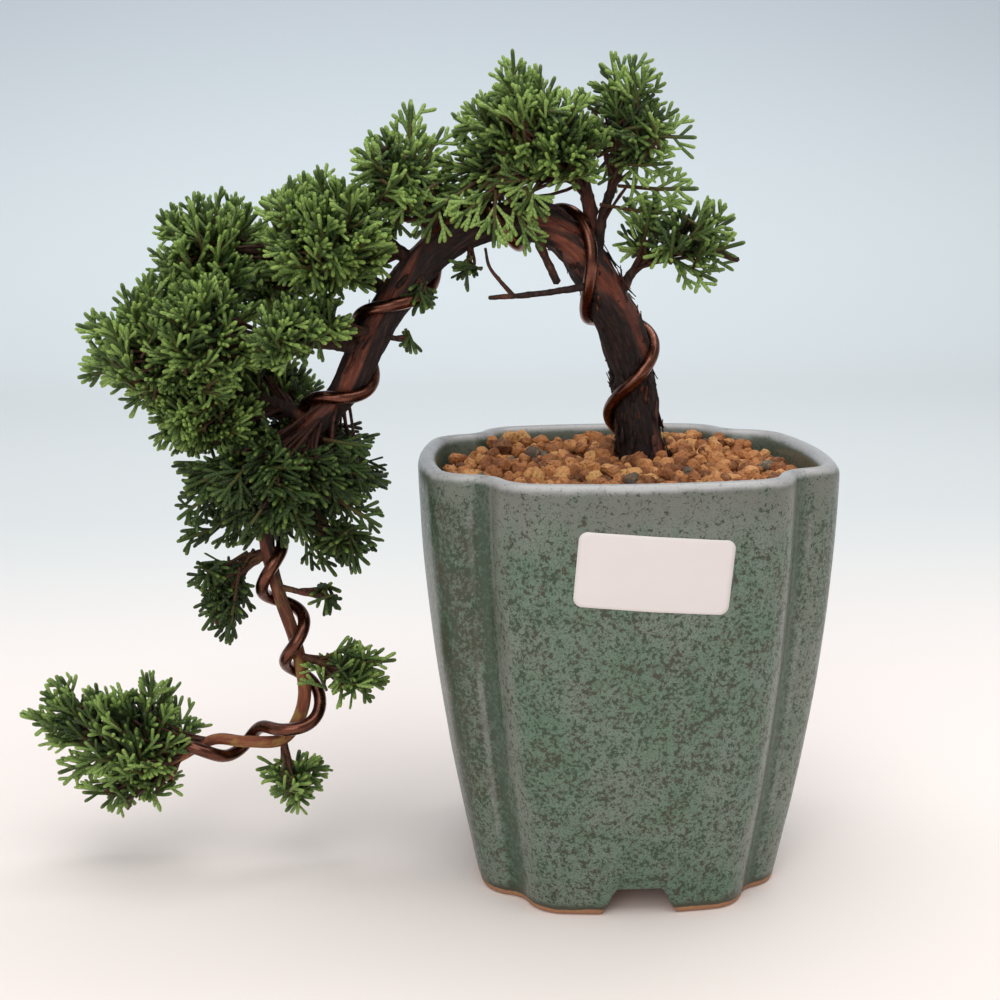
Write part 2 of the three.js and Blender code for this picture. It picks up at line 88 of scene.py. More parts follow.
GRAVEL_POINT = 2          # the trunk point at the gravel's surface
ROOT_COUNT = 5
ROOT_LENGTH = 30

WIRE_RADIUS = 1.9
WIRE_OFF_BARK = 0.55
# length along the trunk from the gravel, turns round it, extra slack
WIRE_TURNS = [
    [-8, -0.6, 0], [12, -0.25, 0], [22, 0, 0.3], [31, 0.25, 0.6], [43, 0.72, 0.3], [61, 1, 0],
    [73, 1.25, 0], [84, 1.75, 0.3], [92, 2, 0.3], [97, 2.25, 0], [115, 2.6, 0], [132, 3, 0],
    [163, 4, 0], [192, 5, 0.2], [213, 5.75, 0.2], [219, 6, 0.3], [226, 6.25, 0.8], [236, 6.7, 0.6],
    [243, 7, 0.4], [249, 7.25, 0.6], [260, 7.7, 0.8], [265, 7.85, 2.2], [271, 8.05, 1.8],
    [281, 8.25, 0.8], [288, 8.65, 0.8], [294, 8.85, 1.4], [300, 9, 1], [306, 9.25, 0.6],
    [316, 9.75, 0.3],
]

BRANCHES = {
    "crown_branch": [[-8, 11, 179, 2.2], [-8, 9, 194, 1.9], [-11, 7, 203, 1.6], [-14, 5, 210, 1.3],
                     [-21, 4, 219, 1.0]],
    "crown_right_branch": [[-6, 11, 180, 1.7], [-4, 7, 194, 1.4], [0, 4, 205, 1.1], [4, 1, 216, 0.8]],
    "right_branch": [[2, 13, 171, 1.6], [6, 10, 177, 1.3], [14, 5, 181, 1.1], [22, 1, 182, 1.0],
                     [33, -3, 179, 0.7]],
    "arch_branch": [[-51, 7, 184, 1.7], [-56, 6, 194, 1.4], [-63, 3, 203, 1.1], [-67, 1, 211, 0.8]],
    "upper_left_branch": [[-58, 7, 178, 2.0], [-69, 5, 186, 1.7], [-83, -1, 190, 1.3], [-93, -2, 192, 0.9]],
    "rear_left_branch": [[-64, 6, 170, 2.2], [-82, 15, 178, 1.9], [-99, 19, 183, 1.5], [-119, 20, 184, 1.0]],
    "front_left_branch": [[-74, 6, 155, 2.2], [-91, -3, 158, 1.8], [-111, -3, 158, 1.5],
                          [-137, 3, 156, 1.0]],
    "front_spur": [[-70, 6, 160, 1.4], [-82, -7, 160, 1.1], [-93, -20, 162, 0.8]],
    "low_left_branch": [[-89, 4, 132, 1.8], [-98, 7, 138, 1.6], [-112, 7, 141, 1.2], [-125, 6, 142, 0.9]],
    "hanging_branch": [[-102, 1, 97, 1.4], [-111, 1, 91, 1.2], [-118, 1, 82, 0.9], [-120, 1, 74, 0.7]],
    "inner_spur": [[-100, 2, 109, 1.2], [-91, 0, 103, 1.0], [-82, 0, 98, 0.8]],
    "lower_spur": [[-101, 1, 85, 1.0], [-95, -1, 84, 0.9], [-89, -3, 83, 0.7]],
    "elbow_branch": [[-96, 1, 64, 1.1], [-90, -1, 62, 0.9], [-81, -2, 60, 0.7]],
    "elbow_twig": [[-102, 0, 38, 1.1], [-100, -2, 31, 0.9], [-98, -3, 25, 0.7]],
    "bare_twig": [[-7, 7, 172, 1.2], [-19, 3, 170.5, 0.9], [-29, 1, 169.5, 0.8], [-38, 1, 169, 0.6]],
    "dead_stub": [[-25, 9, 190, 1.6], [-22, 7, 182, 1.3], [-18, 5, 173, 1.1]],
    "underside_twig": [[-43, 8, 189, 1.1], [-43, 5, 182, 0.9], [-44, 3, 177, 0.7]],
    "drooping_twig": [[-56, 7, 180, 1.2], [-57, 3, 175, 1.0], [-58, 1, 169, 0.7]],
    "inner_arch_twig": [[-72, 6, 158, 1.0], [-67, 3, 158, 0.8], [-61, 2, 157, 0.6]],
}

# How the shoots of a cluster grow. gap: between side shoots; angle: of a side shoot from its parent;
# reach: how much of the rest of its parent a side shoot is long; fork: the shortest side shoot that has
# shoots of its own; lift: how far sprays grow up; flat: how far shoots leave their spray's plane; crowd:
# sprays in the room that one usually has; shade: how much of its tone it keeps, which is painted light
# above 1 (lighter leaves) and painted shade below 1 (darker leaves).
TUFT = {"gap": 1.9, "angle": 38, "reach": 0.68, "fork": 4.6, "lift": 0.40, "flat": 0.28, "crowd": 1.5,
        "shade": 1.1}
# The crown is painted lightest: painted light on the top of the tree.
CROWN = {**TUFT, "crowd": 1.25, "shade": 1.35}
FAN = {"gap": 2.2, "angle": 44, "reach": 0.85, "fork": 7.0, "lift": 0.15, "flat": 0.12, "crowd": 0.44,
       "shade": 1.2}
OPEN = {"gap": 2.0, "angle": 42, "reach": 0.80, "fork": 5.5, "lift": 0.20, "flat": 0.16, "crowd": 0.85,
        "shade": 1.25}
# Hanging fronds keep under half their tone: painted shade under the foliage above them.
FROND = {"gap": 2.0, "angle": 40, "reach": 0.74, "fork": 5.0, "lift": -0.50, "flat": 0.14, "crowd": 1.3,
         "shade": 0.42}

# Each cluster: the branch that bears it, its habit, and the rounded masses that make it up, each given as
# x, y, z, radius x, radius y, radius z.
PADS = {
    "crown_pad": ("crown_branch", CROWN,
                  [[-28, 6, 217, 20, 22, 17], [-17, -3, 212, 15, 15, 15], [-39, 5, 204, 14, 15, 11]]),
    "crown_right_pad": ("crown_right_branch", FAN, [[3, 2, 215, 14, 15, 17], [-2, 10, 222, 13, 12, 13]]),
    "right_pad": ("right_branch", FAN, [[18, 0, 186, 17, 15, 12], [8, 7, 188, 11, 13, 11]]),
    "arch_pad": ("arch_branch", OPEN,
                 [[-64, 3, 203, 13, 17, 16], [-55, 13, 198, 10, 12, 12], [-73, 0, 193, 10, 10, 9]]),
    "upper_left_pad": ("upper_left_branch", TUFT, [[-83, -5, 187, 20, 24, 18], [-88, 13, 191, 15, 18, 15]]),
    "rear_left_pad": ("rear_left_branch", TUFT, [[-118, 19, 181, 19, 25, 19], [-104, 31, 176, 15, 17, 15]]),
    "front_left_pad": ("front_left_branch", TUFT,
                       [[-133, 5, 156, 18, 23, 21], [-117, -10, 160, 17, 17, 18]]),
    "front_spur_pad": ("front_spur", TUFT, [[-94, -22, 162, 12, 12, 11], [-85, -10, 165, 10, 10, 10]]),
    "low_left_pad": ("low_left_branch", TUFT, [[-120, 8, 137, 20, 26, 14], [-103, 25, 141, 15, 15, 14]]),
    "hanging_pad": ("trunk", FROND, [[-102, -4, 116, 27, 19, 19], [-93, 18, 117, 22, 18, 20]]),
    "inner_pad": ("inner_spur", FROND, [[-82, -1, 98, 10, 10, 9]]),
    "hanging_spray": ("hanging_branch", FROND, [[-118, 1, 83, 9, 9, 14]]),
    "lower_spur_pad": ("lower_spur", FROND, [[-88, -3, 82, 6, 7, 6]]),
    "elbow_pad": ("elbow_branch", OPEN, [[-82, -2, 60, 13, 9, 9]]),
    "below_elbow_pad": ("elbow_twig", OPEN, [[-98, -4, 27, 11, 10, 10]]),
    "tail_pad": ("trunk", OPEN,
                 [[-146, 0, 42, 21, 18, 17], [-162, 1, 46, 16, 14, 12], [-149, 2, 25, 15, 14, 9]]),
    "under_arch_pad": ("underside_twig", FROND, [[-44, 2, 177, 6, 7, 6]]),
    "drooping_pad": ("drooping_twig", FROND, [[-58, 1, 170, 6, 6, 8]]),
    "inner_arch_pad": ("inner_arch_twig", FROND, [[-61, 2, 157, 5, 5, 5]]),
}

# Sprays that stand out of the masses: where the leading shoot starts and where it ends.
SPRAYS = {
    "crown_pad": [
        [-29, 6, 220, -30.5, 5, 238], [-18, -1, 204, -41, -4, 200], [-24, -3, 201, -30, -6, 192],
        [-36, -4, 200, -49, -6, 190], [-36, -4, 199, -37, -7, 183], [-34, -3, 199, -23, -5, 182],
        [-28, -3, 200, -22, -6, 190], [-42, -3, 201, -55, -4, 193], [-14, 3, 203, -21, 2, 219]],
    "crown_right_pad": [
        [-7, 2, 208, 16, 0, 221], [-4, 2, 212, 8.4, 0, 232], [-1, 2, 200, 22, 0, 199],
        [-2, 2, 215, 4, 2, 236], [-1, 2, 215, 21, -1, 213], [-6, 3, 195, 16, -2, 192],
        [-3, 1, 206, 14, -3, 206]],
    "right_pad": [[8, 3, 178, 35, -3, 184], [16, 1, 182, 32, -3, 191], [14, 1, 180, 27, -4, 173]],
    "arch_pad": [
        [-60.7, 3, 203, -59, 3, 223], [-58, 4, 204, -50, 5, 217], [-52, -2, 201, -64, -4, 196],
        [-58, 0, 199, -70, -5, 194], [-50, -1, 197, -57, -6, 186]],
    "front_left_pad": [[-139, 5, 152, -157, 5, 147.5], [-138, 4, 158, -156, 3, 163]],
    "hanging_pad": [
        [-88, -5, 124, -67, -6, 117], [-90, -5, 118, -70, -6, 104], [-92, 0, 110, -74, -3, 92],
        [-95, 2, 104, -84, 0, 88], [-108, 0, 108, -130, -2, 100], [-106, 2, 112, -128, 0, 118],
        [-86, -6, 130, -72, -8, 128]],
    "hanging_spray": [[-108, 0, 97, -124, -2, 73], [-112, -2, 92, -117, -3, 69], [-110, 1, 96, -128, 0, 86]],
    "elbow_pad": [[-90, -1, 62, -67, -3, 63], [-88, -1, 61, -70, -2, 55], [-90, -1, 63, -78, -3, 69]],
    "below_elbow_pad": [
        [-100, -2, 32, -110, -4, 30], [-99, -2, 30, -98, -4, 18], [-99, -2, 30, -88, -3, 29]],
    "tail_pad": [[-158, 1, 44, -176, 0, 45], [-157, 1, 48, -173, 0, 55], [-152, 0, 36, -169, -2, 30]],
}


# ---------------------------------------------------------------- numbers and noise
def place(points):
    """Millimetres about the pot's axis to metres in the shared frame."""
    return np.asarray(points, float) * MM + POT_AXIS


def unit(vectors):
    """Each vector divided by its own length."""
    return vectors / np.maximum(np.linalg.norm(vectors, axis=-1, keepdims=True), 1e-9)


def ease(values, low, high):
    """0 below low, 1 above high, and 3t^2 - 2t^3 between them."""
    t = np.clip((values - low) / (high - low), 0, 1)
    return t * t * (3 - 2 * t)


def lumps(points, size, seed=0):
    """Smooth noise from -1 to 1: a repeatable random height at each corner of a lattice of that size, and
    eased sums of the eight corners' heights between them."""
    spot = np.asarray(points, float) / size + 1000.5
    cell = np.floor(spot).astype(np.int64)
    part = ease(spot - cell, 0, 1)
    total = np.zeros(spot.shape[:-1])
    for corner in itertools.product((0, 1), repeat=3):
        key = (cell + corner) * np.array([73856093, 19349663, 83492791])
        mixed = (key[..., 0] ^ key[..., 1] ^ key[..., 2]) + seed * 7919
        mixed = ((mixed ^ (mixed >> 13)) * 1274126177) & 0xFFFFFFFF
        mixed = ((mixed ^ (mixed >> 15)) * 2246822519) & 0xFFFFFFFF
        height = (mixed >> 8 & 0xFFFF) / 32767.5 - 1
        total += height * np.where(corner, part, 1 - part).prod(-1)
    return total


# ---------------------------------------------------------------- meshes
def skins(rings, first, last):
    """Closed skins through stacks of rings, with a fan to a pole at each end. rings has the axes skin, ring,
    corner, xyz, and first and last are one pole point per skin. Returns points, quads and triangles."""
    count, rows, sides, _ = rings.shape
    body = rings.reshape(count, rows * sides, 3)
    points = np.concatenate([body, first[:, None], last[:, None]], 1).reshape(-1, 3)
    row, corner = np.meshgrid(np.arange(rows - 1), np.arange(sides), indexing="ij")
    here, beside = row * sides + corner, row * sides + (corner + 1) % sides
    quads = np.stack([here, beside, beside + sides, here + sides], -1).reshape(-1, 4)
    around, after = np.arange(sides), (np.arange(sides) + 1) % sides
    top = (rows - 1) * sides
    start = np.stack([np.full(sides, rows * sides), after, around], -1)
    end = np.stack([np.full(sides, rows * sides + 1), top + around, top + after], -1)
    shift = (np.arange(count) * (rows * sides + 2))[:, None, None]
    return points, (quads + shift).reshape(-1, 4), (np.concatenate([start, end]) + shift).reshape(-1, 3)


def new_piece(name, points, faces, finish, stands_for=(), uv=None, values=None, smooth=True):
    """A mesh piece from points in millimetres and a list of face arrays. uv holds one pair per face corner
    for each face array, and values one number per point under each attribute name."""
    mesh = bpy.data.meshes.new(name)
    corners = np.concatenate([part.ravel() for part in faces]).astype(np.int32)
    sizes = np.concatenate([np.full(len(part), part.shape[1]) for part in faces])
    mesh.vertices.add(len(points))
    mesh.vertices.foreach_set("co", place(points).astype(np.float32).ravel())
    mesh.loops.add(len(corners))
    mesh.loops.foreach_set("vertex_index", corners)
    mesh.polygons.add(len(sizes))
    mesh.polygons.foreach_set("loop_start", (np.cumsum(sizes) - sizes).astype(np.int32))
    for key, numbers in (values or {}).items():
        layer = mesh.attributes.new(key, "FLOAT", "POINT")
        layer.data.foreach_set("value", np.asarray(numbers, np.float32).ravel())
    mesh.update(calc_edges=True)
    if uv is not None:
        layer = mesh.uv_layers.new(name="OFBake")
        layer.data.foreach_set("uv", np.concatenate([part.ravel() for part in uv]).astype(np.float32))
    if smooth:
        mesh.shade_smooth()
    else:
        mesh.shade_flat()
    mesh.materials.append(finish)
    piece = bpy.data.objects.new(name, mesh)
    bpy.context.scene.collection.objects.link(piece)
    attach(piece, BODY)
    if stands_for:
        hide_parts(*stands_for)
    return piece


def gather(parts):
    """Several (points, quads, triangles) as one, with the later ones' point numbers moved up."""
    starts = np.cumsum([0] + [len(part[0]) for part in parts[:-1]])
    points = np.concatenate([part[0] for part in parts])
    quads = np.concatenate([part[1] + start for part, start in zip(parts, starts)])
    triangles = np.concatenate([part[2] + start for part, start in zip(parts, starts)])
    return points, quads, triangles


# ---------------------------------------------------------------- stems
def smooth_line(points, per_span=40):
    """Centripetal Catmull-Rom curve through the points: between two of them a cubic whose end slopes come
    from the neighbours, with each gap measured by the square root of its length."""
    line = np.asarray(points, float)[:, :3]
    line = np.vstack([2 * line[0] - line[1], line, 2 * line[-1] - line[-2]])
    before, start, end, after = line[:-3], line[1:-2], line[2:-1], line[3:]
    gap = [np.sqrt(np.linalg.norm(b - a, axis=1))[:, None] for a, b in zip(
        (before, start, end), (start, end, after))]
    first, middle, last = gap
    slope_in = (start - before) / first - (end - before) / (first + middle) + (end - start) / middle
    slope_out = (end - start) / middle - (after - start) / (middle + last) + (after - end) / last
    slope_in, slope_out = slope_in * middle, slope_out * middle
    t = np.linspace(0, 1, per_span, endpoint=False)[None, :, None]
    start, end, slope_in, slope_out = (a[:, None, :] for a in (start, end, slope_in, slope_out))
    curve = start + slope_in * t + (3 * (end - start) - 2 * slope_in - slope_out) * t ** 2
    curve = curve + (2 * (start - end) + slope_in + slope_out) * t ** 3
    return np.vstack([curve.reshape(-1, 3), line[-2]])


class Stem:
    """A smooth line through points given as x, y, z, radius, with frames along it. Distances are lengths
    along the line. A frame's front is the side nearest to -Y, and side is tangent x front."""

    def __init__(self, points, per_span=40):
        self.line = smooth_line(points, per_span)
        steps = np.linalg.norm(np.diff(self.line, axis=0), axis=1)
        self.at = np.concatenate([[0], np.cumsum(steps)])
        self.length = self.at[-1]
        self.marks = self.at[::per_span]
        self.radii = np.asarray(points, float)[:, 3]
        self.slope = unit(np.gradient(self.line, self.at, axis=0))

    def centre(self, distance):
        return np.stack([np.interp(distance, self.at, self.line[:, k]) for k in range(3)], -1)

    def radius(self, distance):
        return np.interp(distance, self.marks, self.radii)

    def frames(self, distance):
        tangent = unit(np.stack([np.interp(distance, self.at, self.slope[:, k]) for k in range(3)], -1))
        front = np.array([0.0, -1.0, 0.0]) - tangent * -tangent[..., 1:2]
        front = unit(front)
        return tangent, front, np.cross(tangent, front)

    def rings(self, distance, angles, reach):
        """Points at that reach from the line, one row per distance and one column per angle."""
        _, front, side = self.frames(distance)
        spoke = np.cos(angles)[..., None] * front[:, None] + np.sin(angles)[..., None] * side[:, None]
        return self.centre(distance)[:, None] + reach[..., None] * spoke


def limb(points, sides=14, step=0.9, rough=0.22, seed=0, swell=0.0):
    """A barked twig or branch: rings along its line, whose radius is the wood's times 1 plus long ridges and
    small lumps, and a rounded end. swell thickens the rings near regular nodes, as leaf scars do."""
    wood = Stem(points)
    distance = np.linspace(0, wood.length, max(6, int(wood.length / step)))
    angles = np.linspace(0, 2 * np.pi, sides, endpoint=False)[None, :].repeat(len(distance), 0)
    radius = wood.radius(distance)[:, None].repeat(sides, 1)
    stretched = distance[:, None] / 3 + 0 * angles
    unrolled = np.stack([radius * np.cos(angles), radius * np.sin(angles), stretched], -1)
    coarse = lumps(unrolled, 1.1, seed) + 0.6 * lumps(unrolled, 0.5, seed + 1)
    nodes = swell * np.maximum(0, np.cos(2 * np.pi * distance / 2.3))[:, None] ** 4
    rings = wood.rings(distance, angles, radius * (1 + rough * coarse + nodes))
    middle = wood.centre(distance)
    tip = middle[-1:] + wood.frames(distance)[0][-1:] * radius[-1, 0] * 0.6
    return skins(rings[None], middle[:1], tip)


# ---------------------------------------------------------------- materials
class Value:
    """A node's output that takes part in sums: each operator adds one Math node."""

    def __init__(self, finish, socket):
        self.finish = finish
        self.socket = socket

    def math(self, operation, *others):
        return self.finish.node("ShaderNodeMath", {"operation": operation}, dict(enumerate((self, *others))))

    def __add__(self, other):
        return self.math("ADD", other)

    def __radd__(self, other):
        return self.math("ADD", other)

    def __sub__(self, other):
        return self.math("SUBTRACT", other)

    def __rsub__(self, other):
        return (self * -1.0).math("ADD", other)

    def __mul__(self, other):
        return self.math("MULTIPLY", other)

    def __rmul__(self, other):
        return self.math("MULTIPLY", other)

    def __truediv__(self, other):
        return self.math("DIVIDE", other)


class Finish:
    """A material under construction: node() adds any node, and the rest are short names for common ones."""

    def __init__(self, name, **constants):
        self.material = bpy.data.materials.new(name)
        self.material.use_nodes = True
        self.tree = self.material.node_tree
        self.shader = self.tree.nodes["Principled BSDF"]
        for key, value in constants.items():
            self.shader.inputs[key.replace("_", " ")].default_value = value

    def node(self, kind, settings=None, sockets=None, output=0):
        made = self.tree.nodes.new(kind)
        for key, value in (settings or {}).items():
            if key == "stops":
                self.set_stops(made.color_ramp, value)
            else:
                setattr(made, key, value)
        for key, value in (sockets or {}).items():
            self.feed(made.inputs[key], value)
        return Value(self, made.outputs[output])

    def set_stops(self, ramp, stops):
        while len(ramp.elements) < len(stops):
            ramp.elements.new(1.0)
        for element, (position, colour) in zip(ramp.elements, stops):
            element.position = position
            element.color = (*colour, 1.0)

    def feed(self, socket, value):
        if isinstance(value, Value):
            self.tree.links.new(value.socket, socket)
        elif isinstance(value, tuple) and len(value) == 3 and socket.type == "RGBA":
            socket.default_value = (*value, 1.0)
        else:
            socket.default_value = value

    def coords(self):
        return self.node("ShaderNodeTexCoord", output="Object")

    def attribute(self, name):
        return self.node("ShaderNodeAttribute", {"attribute_name": name}, output="Fac")

    def noise(self, size, detail=2.0, rough=0.5, vector=None, stretch=None):
        """Noise from 0 to 1 whose features are about size metres across."""
        where = vector or self.coords()
        if stretch:
            where = self.node("ShaderNodeMapping", sockets={"Vector": where, "Scale": stretch})
        sockets = {"Vector": where, "Scale": 1 / size, "Detail": detail, "Roughness": rough}
        return self.node("ShaderNodeTexNoise", sockets=sockets)

    def step(self, value, low, high):
        """0 below low, 1 above high and eased between them."""
        sockets = {"Value": value, "From Min": low, "From Max": high}
        return self.node("ShaderNodeMapRange", {"interpolation_type": "SMOOTHSTEP"}, sockets)

    def blend(self, share, first, second):
        """The first colour where share is 0, and the second where it is 1."""
        sockets = {0: share, 6: first, 7: second}
        return self.node("ShaderNodeMix", {"data_type": "RGBA"}, sockets, output=2)

    def ramp(self, value, stops):
        return self.node("ShaderNodeValToRGB", {"stops": stops}, {0: value})

    def axis(self, vector, name):
        return self.node("ShaderNodeSeparateXYZ", sockets={0: vector}, output=name)

    def bump(self, height, depth, strength=1.0, normal=None):
        sockets = {"Height": height, "Distance": depth, "Strength": strength}
        if normal:
            sockets["Normal"] = normal
        return self.node("ShaderNodeBump", sockets=sockets)

    def finish(self, **inputs):
        for key, value in inputs.items():
            self.feed(self.shader.inputs[key.replace("_", " ")], value)
        return self.material


def glaze_finish():
    """Speckled stoneware glaze: fine dark olive flecks crowded on blue-grey green, thicker on the two side
    lobes, deeper green where it pools in the creases and inside, lilac grey where it runs thin on the
    shoulders and under the rim, and a bare clay line round the feet."""
    f = Finish("speckled_glaze", IOR=1.5)
    height = f.axis(f.coords(), "Z") / MM
    rise, crease, glazed = f.attribute("rise"), f.attribute("crease"), f.attribute("glazed")
    inner, shoulder = f.attribute("inner"), f.attribute("shoulder")
    patch = f.noise(0.024, 2.0, 0.5)
    streak = f.noise(0.007, 3.0, 0.6, stretch=(1.0, 1.0, 0.35))
    rim = f.step(height + (patch - 0.5) * 22.0 + (streak - 0.5) * 12.0, 102.0, 122.0)
    thin = f.step(shoulder + (streak - 0.5) * 0.9, 0.15, 1.1)
    ground = f.blend(f.step(patch, 0.36, 0.64), (0.150, 0.200, 0.152), (0.106, 0.182, 0.124))
    ground = f.blend(f.step(streak, 0.42, 0.72) * 0.5, ground, (0.178, 0.208, 0.180))
    ground = f.blend(rim * 0.75, ground, (0.158, 0.150, 0.134))
    ground = f.blend(thin * 0.40, ground, (0.190, 0.178, 0.152))
    across = f.axis(f.coords(), "X") - float(POT_AXIS[0]) + (patch - 0.5) * 0.012
    west, east = 1.0 - f.step(across, -0.050, -0.036), f.step(across, 0.040, 0.052)
    deep = (west + east * 0.40) * (1.0 - f.step(height, 114.0, 122.0) * 0.7)
    ground = f.blend(deep * 0.60, ground, (0.090, 0.148, 0.098))
    grain, drop = f.noise(0.0005, 2.0, 0.6), f.noise(0.00105, 3.0, 0.62)
    cluster = f.noise(0.0026, 3.0, 0.6)
    sparse = rim * 0.09 + thin * 0.04 - crease * 0.07 - deep * 0.10
    soft = f.step(grain + (cluster - 0.5) * 0.35 - sparse, 0.42, 0.64)
    cover = f.step(drop + (cluster - 0.5) * 0.45 + (patch - 0.5) * 0.10 - sparse, 0.51, 0.58)
    cover = cover.math("MAXIMUM", soft * 0.62)
    tint = f.blend(f.step(f.noise(0.008, 2.0), 0.38, 0.62), (0.040, 0.040, 0.022), (0.024, 0.048, 0.023))
    colour = f.blend(cover * 0.96, ground, tint)
    spots = f.step(f.noise(0.0010, 2.0, 0.5) + (cluster - 0.5) * 0.2, 0.66, 0.70)
    colour = f.blend(spots * 0.75, colour, (0.030, 0.026, 0.016))
    pool = f.step(crease + (streak - 0.5) * 0.5, 0.30, 1.05)
    colour = f.blend(pool * 0.60, colour, (0.030, 0.066, 0.036))
    colour = f.blend(inner * 0.45, colour, (0.092, 0.140, 0.100))
    lip = f.step(height + (streak - 0.5) * 1.4, 122.0, 123.6)
    # A pale line on the convex edge beside each crease: thin glaze, and partly a painted highlight along
    # that edge.
    thin_glaze_and_painted_highlight = f.step(crease, 0.10, 0.24) * (1.0 - f.step(crease, 0.34, 0.55)) * f.step(streak, 0.34, 0.60)
    colour = f.blend(thin_glaze_and_painted_highlight * 0.38, colour, (0.300, 0.300, 0.280))
    colour = f.blend(lip * (0.80 - cover * 0.25), colour, (0.430, 0.422, 0.425))
    wander = (f.noise(0.004, 2.0) - 0.5) * 1.0
    clay_line = f.step(rise + wander, 1.6, 2.0)
    colour = f.blend(1.0 - f.step(rise + wander, 2.2, 4.2), colour, (0.045, 0.048, 0.028))
    clay = f.blend(f.noise(0.0016, 3.0), (0.44, 0.225, 0.115), (0.32, 0.145, 0.07))
    coat = clay_line * glazed
    colour = f.blend(coat, clay, colour)
    rough = 0.80 - coat * 0.52 + cover * coat * 0.08
    peel = f.bump(f.noise(0.0035, 2.0), 0.00018, 0.5)
    fine = f.bump(grain, 0.00005, 0.6, peel)
    return f.finish(Base_Color=colour, Roughness=rough, Normal=fine)


def stone_finish():
    """Baked clay granules: each stone has its own tone from yellow tan through orange to brown, a few are
    grey, and all have a dusty, pitted skin."""
    f = Finish("clay_granules", IOR=1.45)
    tone = f.attribute("tone")
    base = f.ramp(tone, [
        (0.0, (0.070, 0.058, 0.044)), (0.05, (0.150, 0.125, 0.092)), (0.09, (0.080, 0.027, 0.009)),
        (0.35, (0.240, 0.078, 0.022)), (0.62, (0.450, 0.172, 0.052)), (0.84, (0.600, 0.280, 0.100)),
        (1.0, (0.560, 0.310, 0.105))])
    dust = f.noise(0.0018, 4.0, 0.65)
    colour = f.blend(f.step(dust, 0.46, 0.75) * 0.40, base, (0.60, 0.340, 0.170))
    colour = f.blend(f.step(f.noise(0.0026, 3.0), 0.50, 0.68) * 0.45, colour, (0.210, 0.075, 0.024))
    colour = f.blend(f.step(f.noise(0.0007, 2.0), 0.57, 0.68) * 0.7, colour, (0.060, 0.024, 0.009))
    pits = f.bump(f.noise(0.0008, 4.0, 0.7), 0.0004, 0.9)
    return f.finish(Base_Color=colour, Roughness=0.70 + dust * 0.20, Normal=pits)


def soil_finish():
    """Dark crumbly potting soil."""
    f = Finish("potting_soil_crumbs", IOR=1.4)
    crumb = f.noise(0.0025, 5.0, 0.7)
    colour = f.ramp(crumb, [
        (0.3, (0.018, 0.011, 0.007)), (0.55, (0.060, 0.036, 0.022)), (0.8, (0.15, 0.09, 0.05))])
    return f.finish(Base_Color=colour, Roughness=0.9 + crumb * 0.1, Normal=f.bump(crumb, 0.0015, 1.0))


def bark_finish():
    """Juniper bark: dark, flaky and dry, over smooth red-brown wood where it has peeled, and yellower on
    young wood. Fibres run along the wood, because the attribute unrolled holds the
    surface's place with its long way drawn out."""
    f = Finish("juniper_bark", IOR=1.45)
    peel, youth = f.attribute("peel"), f.attribute("youth")
    fibre = f.noise(0.0011, 4.0, 0.65, vector=f.node(
        "ShaderNodeAttribute", {"attribute_name": "unrolled"}, output="Vector"))
    blotch = f.noise(0.006, 3.0, 0.6)
    old = f.ramp(fibre, [
        (0.28, (0.005, 0.003, 0.003)), (0.52, (0.018, 0.009, 0.007)), (0.78, (0.085, 0.042, 0.032))])
    old = f.blend(f.step(blotch, 0.52, 0.72) * 0.45, old, (0.070, 0.021, 0.012))
    bare = f.ramp(fibre, [
        (0.25, (0.075, 0.014, 0.007)), (0.5, (0.170, 0.038, 0.016)), (0.78, (0.36, 0.110, 0.050))])
    bare = f.blend(f.step(blotch, 0.42, 0.66) * 0.65, bare, (0.060, 0.014, 0.008))
    young = f.ramp(fibre, [
        (0.25, (0.08, 0.017, 0.008)), (0.5, (0.21, 0.055, 0.022)), (0.8, (0.40, 0.19, 0.07))])
    young = f.blend(f.step(blotch, 0.50, 0.62) * 0.7, young, (0.34, 0.20, 0.045))
    colour = f.blend(youth, f.blend(peel, old, bare), young)
    rough = 0.80 - peel * 0.34 - youth * 0.15
    grain = f.bump(fibre, 0.0009, 1.0)
    return f.finish(Base_Color=colour, Roughness=rough, Normal=grain)


